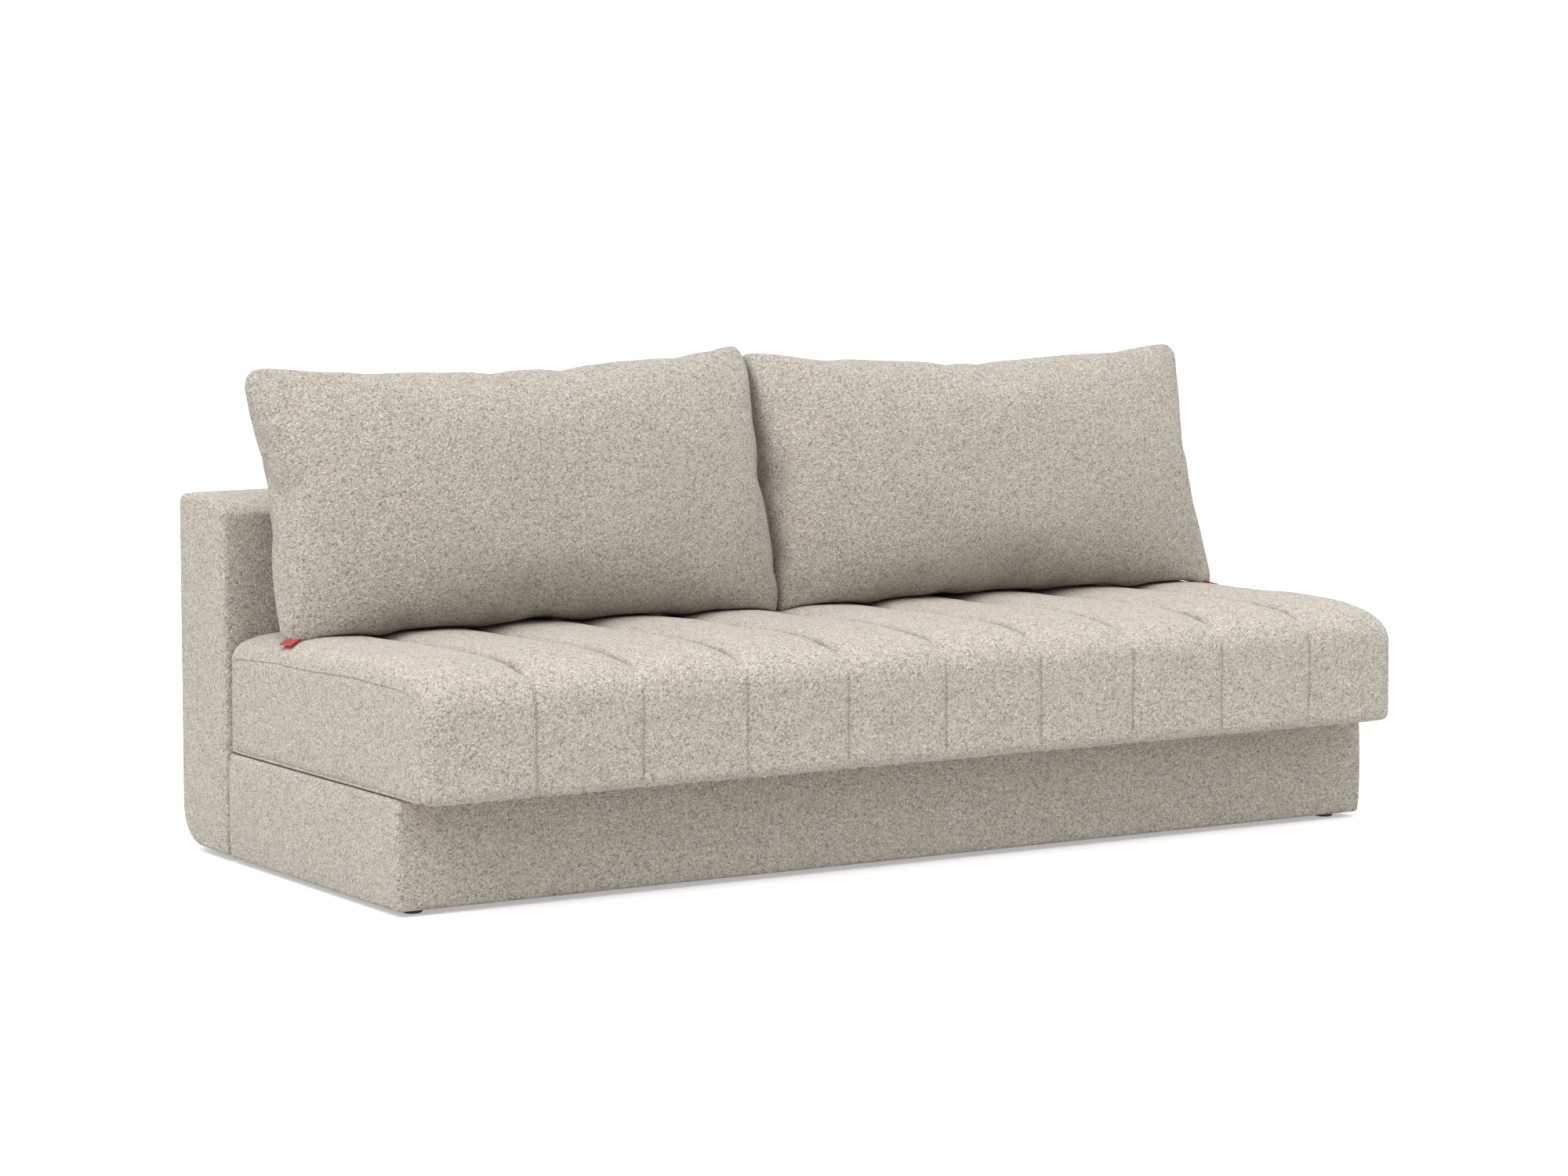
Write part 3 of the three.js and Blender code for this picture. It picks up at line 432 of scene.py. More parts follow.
def close_tree(tree, out, instances, finish):
    solid = add_node(tree, "GeometryNodeRealizeInstances", {0: instances.outputs[0]})
    dressed = add_node(tree, "GeometryNodeSetMaterial", {"Geometry": solid.outputs[0], "Material": finish})
    set_inputs(tree, out, {0: dressed.outputs[0]})

row_of, row_in, row_out = new_group(
    "rows_of_fixings", "GeometryNodeTree",
    [("Fixing", "Geometry"), ("First place", "Vector"), ("Row count", "Int"), ("Row step", "Vector"),
     ("Side count", "Int"), ("Side step", "Vector"), ("Turn axis", "Vector"), ("Finish", "Material")],
    [("Fixings", "Geometry")])
row_line = add_node(row_of, "GeometryNodeMeshLine", {
    "Count": row_in["Row count"], "Start Location": row_in["First place"], "Offset": row_in["Row step"]})
side_line = add_node(row_of, "GeometryNodeMeshLine", {
    "Count": row_in["Side count"], "Offset": row_in["Side step"]})
field_of = add_node(row_of, "GeometryNodeInstanceOnPoints", {
    "Points": row_line.outputs[0], "Instance": side_line.outputs[0]})
places = add_node(row_of, "GeometryNodeRealizeInstances", {0: field_of.outputs[0]})
turn_share = add_node(row_of, "FunctionNodeRandomValue", {2: -1.5, 3: 1.5, "Seed": 4}, data_type="FLOAT")
turn_by = vectors(row_of, "SCALE", row_in["Turn axis"], turn_share.outputs[1])
fixed = add_node(row_of, "GeometryNodeInstanceOnPoints", {
    "Points": places.outputs[0], "Instance": row_in["Fixing"], "Rotation": turn_by})
close_tree(row_of, row_out, fixed, row_in["Finish"])

def grown(name, data, tree, sizes):
    made = placed(name, data)
    grower = made.modifiers.new("grow", "NODES")
    grower.node_group = tree
    sockets = {item.name: item.identifier for item in tree.interface.items_tree if item.in_out == "INPUT"}
    for label, value in sizes.items():
        grower[sockets[label]] = value
    settle(made)
    return made

head_rings = [(0.0041, 0.0), (0.0041, 0.0008), (0.0037, 0.0018), (0.0031, 0.0023), (0.0025, 0.0026),
              (None, 0.0026), (None, 0.0012)]

def screw_head(facing, sides=20):
    shape = bmesh.new()
    turn = Vector((0, 0, 1)).rotation_difference(Vector(facing))
    rows = []
    for radius, height in head_rings:
        row = []
        for i in range(sides):
            angle = 2 * math.pi * i / sides
            cross = 0.0008 + 0.0014 * abs(math.cos(2 * angle)) ** 6
            across = radius or cross
            point = Vector((across * math.cos(angle), across * math.sin(angle), height))
            row.append(shape.verts.new(turn @ point))
        rows.append(row)
    skin(shape, rows)
    return mesh_of(shape, "pan_head")

def screws(name, body, facing, first, rows, row_step, sides, side_step):
    made = grown(name, screw_head(facing), row_of, {
        "First place": first, "Row count": rows, "Row step": row_step, "Side count": sides,
        "Side step": side_step, "Turn axis": facing, "Finish": bright_zinc})
    smooth_by_angle(made, 35)
    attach(made, body)

plate_top_z = 0.0292
screws("plate_screws", "base", (0.0, 0.0, 1.0), (-0.9150, -0.205, plate_top_z),
       5, (0.0, 0.089, 0.0), 2, (1.830, 0.0, 0.0))

# Seat frame: four bare pine rails, glued and stapled, with six birch slats let in between them.
# A steel bracket at each side is screwed up into the end slat and carries both link shafts.
birch_deep = timber("birch_slat", (1, 0.05, 1), birch_pale, birch_dark, 6)
finish_nodes(pine_across, "seat_front_rail", "seat_rear_rail")
finish_nodes(pine_deep, *["seat_side_rail" + word for word in both])
finish_nodes(birch_deep, *["seat_slat_" + str(number) for number in range(1, 7)])
bracket_under_z = 0.2414
screws("bracket_screws", "seat", (0.0, 0.0, -1.0), (-0.760, -0.045, bracket_under_z),
       4, (0.0, 0.062, 0.0), 2, (1.520, 0.0, 0.0))

# Seat cover: boucle sewn into ten channels over foam, rolled over the front edge and stapled under the
# seat frame. The channel seams are pulled down to the foam, and a boxing seam runs round each side.
channel_pitch = 0.2
channel_crown = 0.0145
seam_groove = 0.0045
seam_width = 0.0042
side_roll, right_roll = 0.009, 0.017
seat_half = 1.0
seat_back_y = 0.2718
seat_valley_z, seat_hem_z = 0.402, 0.1922
rear_fall, rear_round, rear_dip = 0.011, 0.024, 0.006
front_turn_y = -0.2442
front_run, front_drop, front_power = 0.219, 0.076, 3.2
front_crown_share = 0.3
hem_round, edge_round = 0.017, 0.017
recess_half = 0.975
recess_front_y, recess_back_y = -0.4379, 0.2465
recess_lip_z, seat_deck_z = 0.225, 0.262

def seat_valley(y):
    return seat_valley_z - rear_fall * clamp((y - front_turn_y) / (seat_back_y - rear_round - front_turn_y))

def seat_line():
    line = []
    def add(y, z, out, crown, soft, under=None):
        line.append((y, z, Vector(out).normalized(), crown, soft, under or (y, z)))
    rear_low_z = seat_hem_z + 0.004
    rear_turn_z = seat_valley_z - rear_fall - rear_dip - rear_round
    for i in range(9):
        add(seat_back_y, rear_low_z + (rear_turn_z - rear_low_z) * i / 9, (1, 0), 0.15 * i / 9, 0.6)
    top_from = seat_back_y - rear_round
    for y, z, out in arc(top_from, rear_turn_z, rear_round, 0, 90, 8):
        add(y, z, out, 0.2 + 0.8 * out[1] ** 2, 0.6 + 0.4 * out[1])
    for i in range(1, 76):
        share = i / 76
        y = top_from + (front_turn_y - top_from) * share
        add(y, seat_valley(y) - rear_dip * (1 - min(share * 6, 1) ** 0.5), (0, 1), 1, 1)
    for i in range(33):
        turn = math.pi * i / 64
        across = math.sin(turn) ** (2 / front_power)
        up = math.cos(turn) ** (2 / front_power)
        out_y = -max(across, 1e-6) ** (front_power - 1) / front_run
        out_z = max(up, 1e-6) ** (front_power - 1) / front_drop
        crown = 1 - (1 - front_crown_share) * (i / 32) ** 1.3
        z = seat_valley_z - front_drop * (1 - up)
        add(front_turn_y - front_run * across, z, (out_y, out_z), crown, 1)
    front_y = front_turn_y - front_run
    fold_z = seat_valley_z - front_drop
    for i in range(1, 20):
        add(front_y, fold_z - (fold_z - seat_hem_z - hem_round) * i / 20, (-1, 0), front_crown_share, 0.95)
    hem = arc(front_y + hem_round, seat_hem_z + hem_round, hem_round, 180, 270, 5)
    for i, (y, z, out) in enumerate(hem):
        add(y, z, out, front_crown_share * (1 - i / 5), 0.95)
    recess = [(recess_front_y - 0.006, 0.95), (recess_front_y, 0.95), (recess_front_y, 0.3, recess_lip_z)]
    recess_depth = recess_back_y - recess_front_y
    recess += [(recess_front_y + recess_depth * i / 8, 0.22, seat_deck_z) for i in range(9)]
    recess += [(recess_back_y, 0.3, recess_lip_z), (recess_back_y, 0.3), (recess_back_y + 0.012, 0.3)]
    for y, soft, *under_z in recess:
        add(y, seat_hem_z, (0, -1), 0, soft, (y, under_z[0]) if under_z else None)
    return line

def channel_height(x):
    share = (abs(x) / channel_pitch) % 1
    from_seam = min(share, 1 - share) * channel_pitch
    if abs(x) > seat_half - channel_pitch / 2:
        roll = (abs(x) - seat_half + channel_pitch / 2) / (channel_pitch / 2)
        fall = right_roll if x > 0 else side_roll
        return (channel_crown + fall) * max(1 - roll ** 2.6, 0) ** 0.8 - fall, from_seam, True
    crown = channel_crown * max(1 - abs(2 * share - 1) ** 2.9, 0) ** 0.85
    return crown - seam_groove * math.exp(-(from_seam / seam_width) ** 2), from_seam, False

def end_stations(half, radius):
    return [half - radius * (1 - math.sin(math.radians(angle))) for angle in range(0, 91, 15)]

def end_inset(x, half, radius):
    short = max(radius - (half - abs(x)), 0)
    return radius - math.sqrt(max(radius ** 2 - short ** 2, 0))

seam_steps = (0, 0.0018, 0.004, 0.007, 0.011, 0.017, 0.025, 0.035, 0.047, 0.062, 0.08, channel_pitch / 2)
inner_xs = {round(seam * channel_pitch + side * step, 5) for seam in range(-5, 6) for step in seam_steps
            for side in (-1, 1) if abs(seam * channel_pitch + side * step) < recess_half - 0.0001}
ends = [(recess_half, True), (recess_half, False), (0.982, False)]
ends += [(x, False) for x in end_stations(seat_half, edge_round)]
stations = [(-x, hollow) for x, hollow in reversed(ends)] + [(x, True) for x in sorted(inner_xs)] + ends

def seat_ring(x, hollow):
    height, from_seam, at_side = channel_height(x)
    inset = end_inset(x, seat_half, edge_round)
    seam = round(x / channel_pitch)
    ring, painted_shade_rows, run = [], [], 0.0
    for i, (y, z, out, crown, soft, under) in enumerate(line_of_seat):
        if i:
            run += math.hypot(y - line_of_seat[i - 1][0], z - line_of_seat[i - 1][1])
        on_top = clamp((y - front_turn_y + 0.194) / 0.05)
        on_front = clamp((0.362 - z) / 0.012)
        bend = 1 - max(on_top, on_front)
        seen = clamp((z - 0.2) / 0.025) * (1 - 0.85 * bend)
        # Each channel seam gets painted shade: a thin dark line in the valley and a wider soft shade on the
        # top, fading at the front bend and near the hem.
        seam_line_shade = math.exp(-(from_seam / (0.0017 + 0.0028 * on_top)) ** 2) * (1 - 0.3 * on_top)
        seam_soft_shade = 0.25 * on_top * math.exp(-(from_seam / 0.012) ** 2)
        sewn_here = crown > 0 and not at_side
        painted_shade_rows.append(seen * (seam_line_shade + seam_soft_shade) if sewn_here else 0)
        if hollow and under != (y, z):
            ring.append(Vector((x, *under)))
            continue
        lift, wander = height * crown - inset * soft, 0
        if sewn_here:
            beside = seam * 3.1 + (1 if x > seam * channel_pitch else 9)
            pucker = noise.noise(Vector((seam * 7.3, run * 62, 2.5))) * 0.0016
            pucker += noise.noise(Vector((beside, run * 30, 7))) * 0.0018
            lift += bend * seam_groove * math.exp(-(from_seam / seam_width) ** 2)
            lift += pucker * math.exp(-(from_seam / 0.026) ** 2) * min(crown * 2, 1)
            wander = noise.noise(Vector((seam * 5.0, run * 9, 0))) * 0.0022
            wander *= math.exp(-(from_seam / 0.05) ** 2)
        if crown > 0:
            lift += soft_noise((x, y, z), 7, 0.0028, 1.0) * min(crown + 0.2, 1)
            lift += soft_noise((x, y, z), 24, 0.0009, 5.0) * min(crown + 0.3, 1)
        ring.append(Vector((x + wander, y + out.x * lift, z + out.y * lift)))
    return ring, painted_shade_rows

def nearest_on_spine(y, z, spine):
    (y0, z0), (y1, z1) = spine
    along = Vector((y1 - y0, z1 - z0))
    share = clamp(((y - y0) * along.x + (z - z0) * along.y) / along.length_squared)
    return y0 + along.x * share, z0 + along.y * share

def end_rings(ring, side, spine, steps):
    rings = []
    for share, rise in steps:
        made = []
        for point in ring:
            y, z = nearest_on_spine(point.y, point.z, spine)
            lift = rise(point) if callable(rise) else rise
            made.append(Vector((point.x + side * lift, point.y + (y - point.y) * share,
                                point.z + (z - point.z) * share)))
        rings.append(made)
    return rings

def loft(name, rings, material, painted_shade_rows=()):
    shape = bmesh.new()
    # The seam layer holds painted shade, read by the cloth's colour.
    seam = shape.verts.layers.float.new("seam")
    rows = [[shape.verts.new(point) for point in ring] for ring in rings]
    for row, row_painted_shade in zip(rows, painted_shade_rows):
        for vertex, vertex_shade in zip(row, row_painted_shade):
            vertex[seam] = vertex_shade
    skin(shape, rows)
    data = mesh_of(shape, name)
    data.materials.append(material)
    data.shade_smooth()
    return placed(name, data)

line_of_seat = seat_line()
rings, painted_shade_rows = zip(*[seat_ring(x, hollow) for x, hollow in stations])
side_spine = ((-0.33, 0.29), (0.16, 0.29))
# The piping mark is painted shade along the crease of the side's boxing seam.
piping_step, piping_shade = 0.034, 0.6
side_steps = [(0.010, 0.0004), (0.022, 0.0), (piping_step, -0.0008), (0.042, -0.0009), (0.055, 0.0004),
              (0.12, 0.0012), (0.25, 0.0022), (0.45, 0.0028), (0.7, 0.003)]
left_end = end_rings(rings[0], -1, side_spine, side_steps)[::-1]
right_end = end_rings(rings[-1], 1, side_spine, side_steps)
piping_shade_rings = [[piping_shade if share == piping_step and point.z > 0.36 else 0 for point in rings[0]]
          for share, rise in side_steps]
seat_cover = loft("seat_cover", left_end + list(rings) + right_end, stone_boucle,
                  piping_shade_rings[::-1] + list(painted_shade_rows) + piping_shade_rings)
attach(seat_cover, "seat")
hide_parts("seat_cushion")

# Seam stitches: spun thread in the cloth's own colour, sunk along the nine channel seams to the hem.
# Staples: galvanised wire, shot up through the cover's hem into the front rail.
seam_thread, thread_tree, thread_shader = new_material("seam_thread")
thread_ply = noise_of(thread_tree, object_place(thread_tree), 1400, 2)
thread_colour = ramp(thread_tree, thread_ply, [(0.3, (0.42, 0.39, 0.33)), (0.7, (0.56, 0.53, 0.46))])
fit_finish(thread_tree, thread_shader, thread_colour, 0.8, thread_ply, 0.0003, 0.6)

stitch_rows, stitch_in, stitch_out = new_group(
    "rows_of_stitches", "GeometryNodeTree",
    [("Seam lines", "Geometry"), ("Stitch pitch", "Float"), ("Stitch size", "Vector"),
     ("Finish", "Material")],
    [("Stitches", "Geometry")])
seam_curve = add_node(stitch_rows, "GeometryNodeMeshToCurve", {"Mesh": stitch_in["Seam lines"]})
stitch_points = add_node(stitch_rows, "GeometryNodeResampleCurve", {
    "Curve": seam_curve.outputs[0], "Length": stitch_in["Stitch pitch"]}, mode="LENGTH")
one_stitch = add_node(stitch_rows, "GeometryNodeMeshUVSphere", {"Segments": 6, "Rings": 4, "Radius": 0.5})
seam_way = add_node(stitch_rows, "GeometryNodeInputTangent")
stitch_turn = add_node(stitch_rows, "FunctionNodeAlignRotationToVector", {
    "Vector": seam_way.outputs[0]}, axis="X")
sewn = add_node(stitch_rows, "GeometryNodeInstanceOnPoints", {
    "Points": stitch_points.outputs[0], "Instance": one_stitch.outputs[0],
    "Rotation": stitch_turn.outputs[0], "Scale": stitch_in["Stitch size"]})
close_tree(stitch_rows, stitch_out, sewn, stitch_in["Finish"])

thread_lift = 0.0003
seam_points, seam_edges = [], []
for seam in range(-4, 5):
    ring, seam_line_shades = seat_ring(seam * channel_pitch, True)
    line = [point + Vector((0, out.x, out.y)) * thread_lift
            for point, (y, z, out, crown, soft, under) in zip(ring, line_of_seat)
            if crown > 0 and z > recess_lip_z]
    seam_edges += [(len(seam_points) + i, len(seam_points) + i + 1) for i in range(len(line) - 1)]
    seam_points += line
seam_lines = bpy.data.meshes.new("seam_lines")
seam_lines.from_pydata(seam_points, seam_edges, [])
seam_stitches = grown("seam_stitches", seam_lines, stitch_rows, {
    "Stitch pitch": 0.0058, "Stitch size": (0.0044, 0.0009, 0.0009), "Finish": seam_thread})
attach(seam_stitches, "seat")

staple_bend = [(-0.005, 0.0022), (-0.005, 0.0004), (-0.0046, 0.0), (0.0046, 0.0), (0.005, 0.0004),
               (0.005, 0.0022)]
wire = 0.0005
across_wire = Vector((0, 1, 0))
wire_turns = [math.pi / 3 * i for i in range(6)]
shape = bmesh.new()
rows = []
for index, (x, z) in enumerate(staple_bend):
    fore, aft = staple_bend[max(index - 1, 0)], staple_bend[min(index + 1, len(staple_bend) - 1)]
    way = Vector((aft[0] - fore[0], 0, aft[1] - fore[1])).normalized()
    up_wire = way.cross(across_wire)
    ways_out = [across_wire * math.cos(turn) + up_wire * math.sin(turn) for turn in wire_turns]
    rows.append([shape.verts.new(Vector((x, 0, z)) + out * wire) for out in ways_out])
skin(shape, rows)
hem_staples = grown("hem_staples", mesh_of(shape, "staple"), row_of, {
    "First place": (-0.945, -0.4495, seat_hem_z - 0.0003), "Row count": 43, "Row step": (0.045, 0.0, 0.0),
    "Side count": 1, "Side step": (0.0, 0.0, 0.0), "Turn axis": (0.0, 0.0, 0.12), "Finish": bright_zinc})
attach(hem_staples, "seat")

# Back frame: pine rails top and bottom, two side stiles and one in the middle, glued and stapled.
# Each side stile has a steel cheek screwed on that holds the hinge pin of its swing arm.
finish_nodes(pine_across, "back_top_rail", "back_bottom_rail")
finish_nodes(pine_upright, "back_centre_stile", *["back_side_stile" + word for word in both])
for side, word in ((1.0, "_right"), (-1.0, "_left")):
    screws("cheek_screws" + word, "back", (-side, 0.0, 0.0), (side * 0.9267, 0.350, 0.150),
           2, (0.0, 0.0, 0.036), 2, (0.0, 0.028, 0.0))

# Back cover: a front panel and one boxing strip of boucle over foam, sewn together just behind the front
# edge. The heel below is rounded, and two slots let the swing arms in.
back_half = 1.0065
back_face_y = 0.2758
back_depth = 0.1916
back_low_z, back_turn_z = 0.011, 0.6150
back_edge, heel_round, toe_round = 0.013, 0.071, 0.008
rest_mark_z = 0.31
seam_pinch = 0.0014
back_line = []

def add_back(y, z, out, soft, puff=0.0, pinch=0.0):
    back_line.append((back_face_y + y, z, Vector(out).normalized(), soft, puff, pinch))

for y, z, out in arc(toe_round, back_low_z + toe_round, toe_round, -90, -180, 3):
    add_back(y, z, out, 0.4)
for i in range(1, 44):
    add_back(0, 0.019 + 0.583 * i / 44, (-1, 0), 0.5, math.sin(math.pi * i / 44) ** 0.6)
for y, z, out in arc(0.007, 0.602, 0.007, 180, 112, 4, rise=0.0105):
    add_back(y, z, out, 0.5)
add_back(0.0062, 0.6132, (-0.3, 1), 0.6, 0, 1)
top_points = [(0.009, 0.6142), (0.013, 0.6158), (0.019, 0.6181), (0.028, 0.6214), (0.04, 0.6250),
              (0.054, 0.6284), (0.074, 0.6316), (0.1, 0.6342), (0.13, 0.6354), (0.152, 0.6349),
              (0.166, 0.6331)]
for y, z in top_points:
    add_back(y, z, (-0.35 * max(1 - y / 0.1, 0), 1), 1, 1.2 * math.sin(math.pi * (y + 0.006) / 0.19))
for y, z, out in arc(0.1746, back_turn_z, 0.017, 90, 0, 6, first=1, rise=0.0178):
    add_back(y, z, out, 1)
for i in range(1, 30):
    z = back_turn_z - (back_turn_z - back_low_z - heel_round) * i / 30
    off_rests = clamp((z - rest_mark_z) / 0.08)
    add_back(back_depth, z, (1, 0), 1, math.sin(math.pi * i / 30) ** 0.6 * 0.6 * off_rests)
for y, z, out in arc(back_depth - heel_round, back_low_z + heel_round, heel_round, 0, -90, 12):
    add_back(y, z, out, 1)
for i in range(1, 5):
    add_back(toe_round + (back_depth - heel_round - toe_round) * (1 - i / 5), back_low_z, (0, -1), 0.6)

def back_ring(x):
    inset = end_inset(x, back_half, back_edge)
    fade = clamp((back_half - abs(x)) / 0.12) ** 0.5
    ring = []
    for y, z, out, soft, puff, pinch in back_line:
        swell = 0.0022 + soft_noise((x, y, z), 5, 0.0024, 8) + soft_noise((x, y, z), 19, 0.0009, 6)
        lift = puff * fade * swell - inset * soft - pinch * seam_pinch
        ring.append(Vector((x, y + out.x * lift, z + out.y * lift)))
    return ring

def seam_dip(depth):
    def rise(point):
        near_front = max(1 - (point.y - back_face_y) / 0.012, 0)
        return -depth * min(near_front * 3, 1)
    return rise

back_columns = 96
back_ends = end_stations(back_half, back_edge)
inner = back_half - back_edge
middle = [-inner + 2 * inner * i / back_columns for i in range(1, back_columns)]
rings = [back_ring(x) for x in [-x for x in reversed(back_ends)] + middle + back_ends]
back_spine = ((back_face_y + 0.0958, 0.13), (back_face_y + 0.0958, 0.52))
cap = [(0.010, seam_dip(0.0012)), (0.026, seam_dip(0.0014)), (0.045, seam_dip(0.0002)), (0.10, 0.0006),
       (0.2, 0.0014), (0.4, 0.0022), (0.7, 0.0026)]
rings = end_rings(rings[0], -1, back_spine, cap)[::-1] + rings + end_rings(rings[-1], 1, back_spine, cap)
back_cover = loft("back_cover", rings, stone_boucle)
cut_arm_slots(back_cover, [(0.2718, 0.0), (0.4714, 0.0), (0.4714, 0.152), (0.3758, 0.114), (0.2718, 0.114)])
smooth_by_angle(back_cover, 50)
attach(back_cover, "back")
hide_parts("back_front_pad", "back_shell", "back_heel")

# Pillows: two loose feather-and-foam pillows, boucle cases sewn flat and filled until the corners stand up.
# They stand on the seat, lean on the back panel and flatten where they touch.
# The pillows get a darker copy of the cloth: painted shade against the extra light on their leaning fronts.
pillow_boucle_shaded = boucle_finish("pillow_boucle_shaded", pillow_shade_tone)
case_width, case_height, case_thick = 0.985, 0.475, 0.098
case_corner = 0.034
case_across, case_up = 96, 56
cloth_step = 0.010
fill_frames = 20
fill_reach = 0.03
fill_seed = 5
noise.seed_set(fill_seed)

def pillow_case(name, seed, inward):
    shape = bmesh.new()
    grid = {}
    for side in (1, -1):
        for i in range(case_across + 1):
            for j in range(case_up + 1):
                if side < 0 and (i in (0, case_across) or j in (0, case_up)):
                    grid[side, i, j] = grid[1, i, j]
                    continue
                a = -math.cos(math.pi * i / case_across)
                b = -math.cos(math.pi * j / case_up)
                sag_up = 0.009 * (1 - a * a) * abs(b) ** 3 * (1 if b > 0 else 0.3)
                sag_side = (0.008 if a * inward < 0 else 0.003) * (1 - b * b) * abs(a) ** 3
                x = a * (case_width / 2 - sag_side)
                z = b * (case_height / 2 - sag_up)
                round_x = abs(x) - case_width / 2 + case_corner
                round_z = abs(z) - case_height / 2 + case_corner
                if round_x > 0 and round_z > 0:
                    pull = max(round_x, round_z) / math.hypot(round_x, round_z)
                    x = math.copysign(case_width / 2 - case_corner + round_x * pull, x)
                    z = math.copysign(case_height / 2 - case_corner + round_z * pull, z)
                bulge = case_thick * math.sqrt(max(1 - abs(a) ** 3.2, 0))
                bulge *= math.sqrt(max(1 - abs(b) ** 2.6, 0))
                grid[side, i, j] = shape.verts.new((x, bulge * side, z))
        for i in range(case_across):
            for j in range(case_up):
                round_face = ((i, j), (i + 1, j), (i + 1, j + 1), (i, j + 1))
                shape.faces.new([grid[side, m, n] for m, n in round_face][::-side])
    pillow = placed(name, mesh_of(shape, name))
    set_all(pillow.modifiers.new("even", "REMESH"), mode="VOXEL", voxel_size=cloth_step)
    settle(pillow)
    for vertex in pillow.data.vertices:
        vertex.co += noise.noise_vector(vertex.co * 17 + Vector((seed, 0, 0))) * 0.0011
    fill_pillow(pillow)
    ease_panels(pillow)
    return pillow

def ease_panels(pillow):
    inner = pillow.vertex_groups.new(name="panels")
    for vertex in pillow.data.vertices:
        from_side, from_top = case_width / 2 - abs(vertex.co.x), case_height / 2 - abs(vertex.co.z)
        panel = clamp((min(from_side, from_top) - 0.03) / 0.07)
        along_edge = clamp((max(from_side, from_top) - 0.08) / 0.06)
        inner.add([vertex.index], max(panel, along_edge * (0.3 if from_side < from_top else 0.55)), "REPLACE")
    set_all(pillow.modifiers.new("ease", "SMOOTH"), factor=0.5, iterations=30, vertex_group="panels")
    settle(pillow)

def fill_pillow(pillow):
    start = [vertex.co.copy() for vertex in pillow.data.vertices]
    filling = pillow.modifiers.new("filling", "CLOTH")
    set_all(filling.settings, quality=5, mass=0.3, tension_stiffness=15, compression_stiffness=15,
            shear_stiffness=6, bending_stiffness=0.3, air_damping=3, use_pressure=True,
            uniform_pressure_force=1.8, shrink_min=-0.018, shrink_max=-0.018)
    filling.settings.effector_weights.gravity = 0
    filling.collision_settings.use_collision = False
    set_all(filling.point_cache, frame_start=1, frame_end=fill_frames)
    for frame_number in range(1, fill_frames + 1):
        bpy.context.scene.frame_set(frame_number)
    settle(pillow)
    for vertex, old in zip(pillow.data.vertices, start):
        moved = vertex.co - old
        if moved.length > fill_reach:
            vertex.co = old + moved * (fill_reach / moved.length)
    bpy.context.scene.frame_set(1)

lean = Vector((0, 0.124, 0.455)).normalized()
ahead = Vector((0, -lean.z, lean.y))
pillow_foot = Vector((0, back_face_y - 0.186, 0.4088))
pillow_size = Vector((1.008, 0.240, 0.4995))
pillow_sink = 0.022
pillow_toe = 0.011
pillow_outer_x = 0.994
meeting_x = 0.0055

def press(value, limit, softness):
    past = value - (limit - softness)
    return limit - softness * math.exp(-past / softness) if past > 0 else value

def stand_pillow(pillow, side, lift, slope, ear, foot, reach):
    points = [vertex.co.copy() for vertex in pillow.data.vertices]
    low = Vector([min(p[k] for p in points) for k in range(3)])
    high = Vector([max(p[k] for p in points) for k in range(3)])
    spread = high - low
    for vertex, point in zip(pillow.data.vertices, points):
        across = (point.x * side - (low.x + high.x) / 2 * side + spread.x / 2) * pillow_size.x / spread.x
        deep = point.y * pillow_size.y / spread.y
        up = (point.z - low.z) * pillow_size.z / spread.z
        across_share, up_share = across / pillow_size.x, up / pillow_size.z
        up += up_share ** 2 * (lift + slope * (across_share - 0.5))
        outer_share = max(across_share, 0) ** 8
        across += ear * up_share ** 6 * outer_share + foot * (1 - up_share) ** 6 * outer_share
        across += reach * across_share
        place = pillow_foot + lean * (up - pillow_sink) - ahead * deep
        place.y -= pillow_toe * (1 - up_share) ** 6 * outer_share
        inner = pillow_outer_x - pillow_size.x + across
        inner = -press(-inner, -side * meeting_x - 0.0022, 0.010)
        place.x = side * inner
        height = channel_height(inner)[0] if place.y < back_face_y else channel_crown
        rest_z = seat_valley(place.y) + max(height, 0.0035 if inner < 0.9 else -0.004) + 0.0005
        place.z = -press(-place.z, -rest_z, 0.009)
        wall_y = back_face_y - 0.0006 + 0.03 * clamp((place.z - 0.632) / 0.05) ** 2
        place.y = press(place.y, wall_y, 0.03)
        vertex.co = place
    pillow.modifiers.new("finer", "SUBSURF").levels = 1
    settle(pillow)
    pillow.data.materials.clear()
    pillow.data.materials.append(pillow_boucle_shaded)
    pillow.data.shade_smooth()

for side, word, seed, lift, slope, ear, foot, reach in (
        (1, "right", 11.0, -0.0065, -0.004, 0.015, 0.011, 0.0),
        (-1, "left", 3.0, 0.0, -0.021, 0.0, -0.011, 0.0045)):
    pillow = pillow_case("pillow_cover_" + word, seed, -side)
    stand_pillow(pillow, side, lift, slope, ear, foot, reach)
    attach(pillow, "pillow_" + word)
    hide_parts("pillow_" + word)

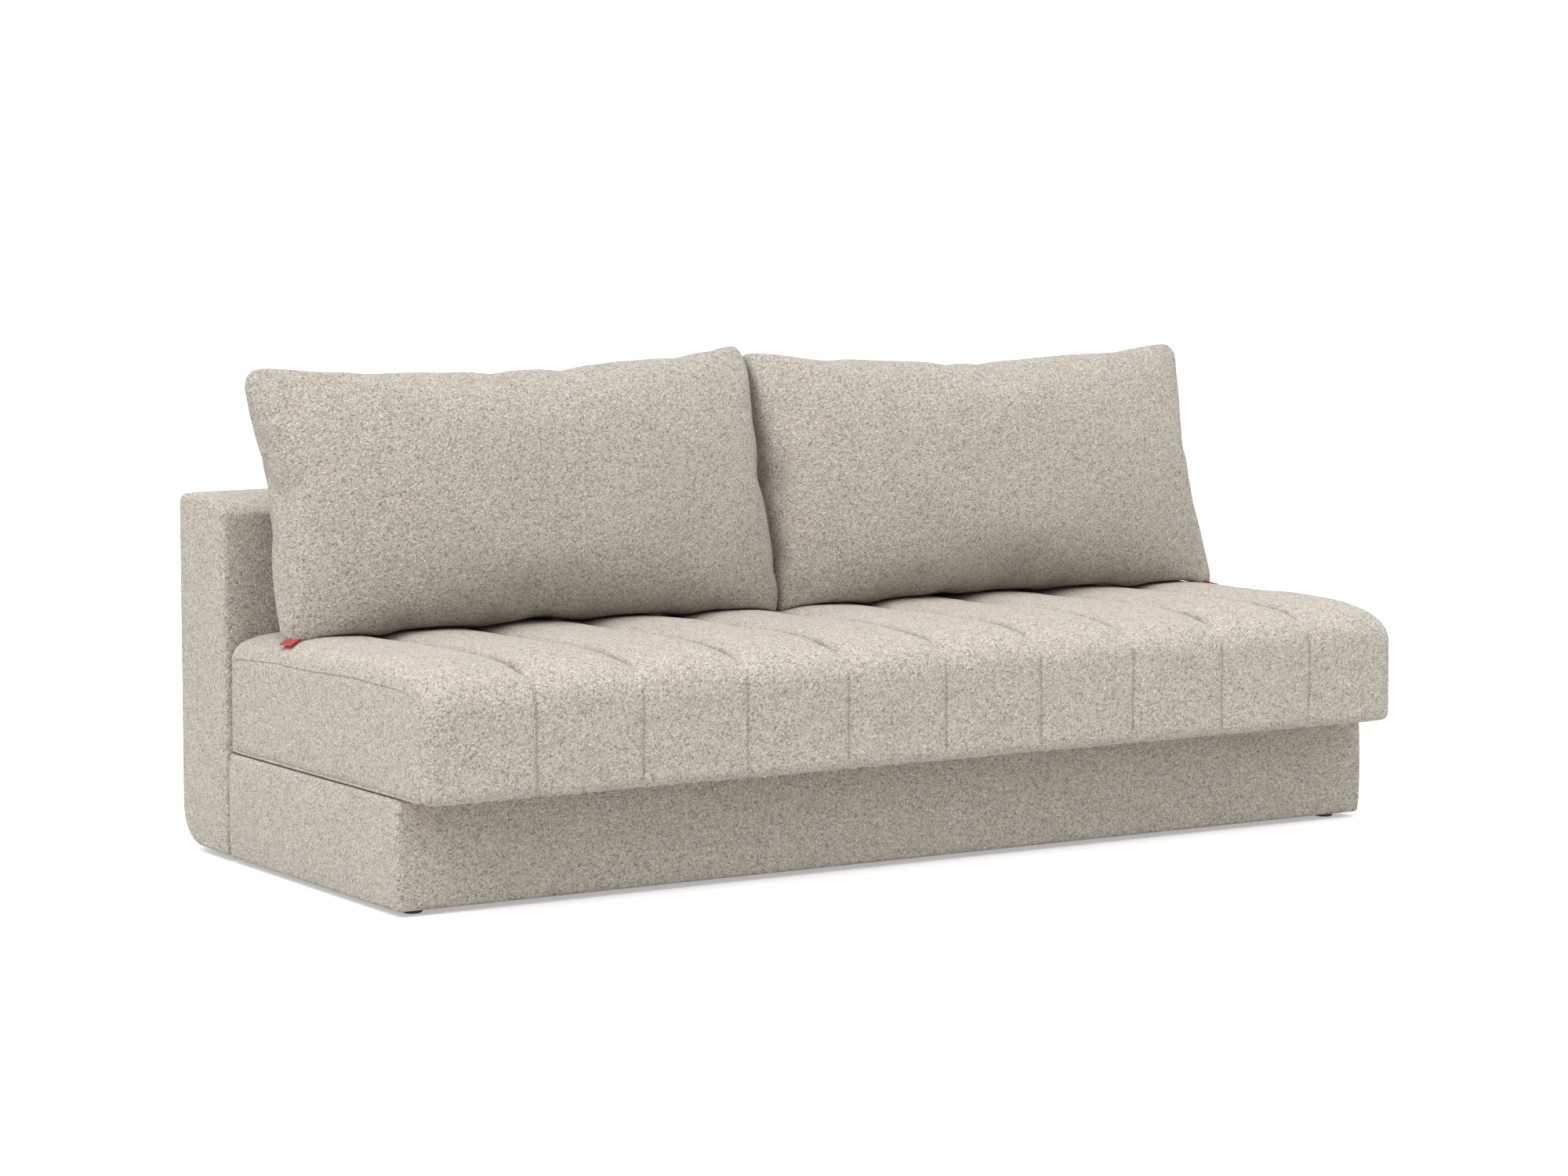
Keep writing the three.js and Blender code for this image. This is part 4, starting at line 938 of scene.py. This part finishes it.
# Tabs: a short loop of plain red woven tape, folded and sewn into each pillow's foot seam at the outer end.
# It lies flat over the rolled edge of the seat, just in front of the pillow.
red_tape, tape_tree, tape_shader = new_material("red_tape")
tape_place = object_place(tape_tree)
tape_rib = add_node(tape_tree, "ShaderNodeTexWave", {
    "Vector": tape_place, "Scale": 420, "Distortion": 0.6, "Detail": 1}, bands_direction="X")
tape_pick = add_node(tape_tree, "ShaderNodeTexWave", {
    "Vector": tape_place, "Scale": 300, "Distortion": 0.8, "Detail": 1}, bands_direction="Y")
tape_weave = maths(tape_tree, "MULTIPLY", tape_rib.outputs["Fac"], tape_pick.outputs["Fac"])
tape_colour = ramp(tape_tree, tape_weave, [(0.0, (0.40, 0.025, 0.03)), (1.0, (0.60, 0.055, 0.06))])
tape_rough = ranged(tape_tree, tape_weave, 0, 1, 0.8, 0.6)
fit_finish(tape_tree, tape_shader, tape_colour, tape_rough, tape_weave, 0.0003, 0.8)

tape_thick = 0.0007
fold_round = 0.0011
tab_seam_back, tab_seam_front = Vector((0.974, 0.084, 0.4095)), Vector((0.960, 0.066, 0.4095))
tab_fold_back, tab_fold_front = Vector((0.996, 0.0785, 0.4005)), Vector((0.990, 0.044, 0.4015))
fold_line = [(0.0, fold_round, 0, 1), (0.35, 1.3 * fold_round, 0, 1), (0.7, 1.1 * fold_round, 0, 1)]
fold_line += [(1.0, rise, *out) for along, rise, out in arc(0, 0, fold_round, 90, -90, 6)]
fold_line += [(share, -fold_round, 0, -1) for share in (0.7, 0.35, 0.0)]
for side, word in ((1, "right"), (-1, "left")):
    rings = []
    for i in range(13):
        seam_point = tab_seam_back.lerp(tab_seam_front, i / 12)
        fold_point = tab_fold_back.lerp(tab_fold_front, i / 12)
        way = (fold_point - seam_point).normalized()
        up = way.cross((tab_seam_front - tab_seam_back).normalized())
        up = up.normalized() if up.z > 0 else -up.normalized()
        outside, inside = [], []
        for share, rise, out_way, out_up in fold_line:
            point = seam_point.lerp(fold_point, share) + up * rise + way * (out_way * fold_round)
            outside.append(point)
            inside.append(point - (way * out_way + up * out_up) * tape_thick)
        rings.append([Vector((side * point.x, point.y, point.z)) for point in outside + inside[::-1]])
    tab = loft("pillow_tape_" + word, rings, red_tape)
    smooth_by_angle(tab, 50)
    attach(tab, "pillow_" + word)
    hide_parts("pillow_tab_" + word)
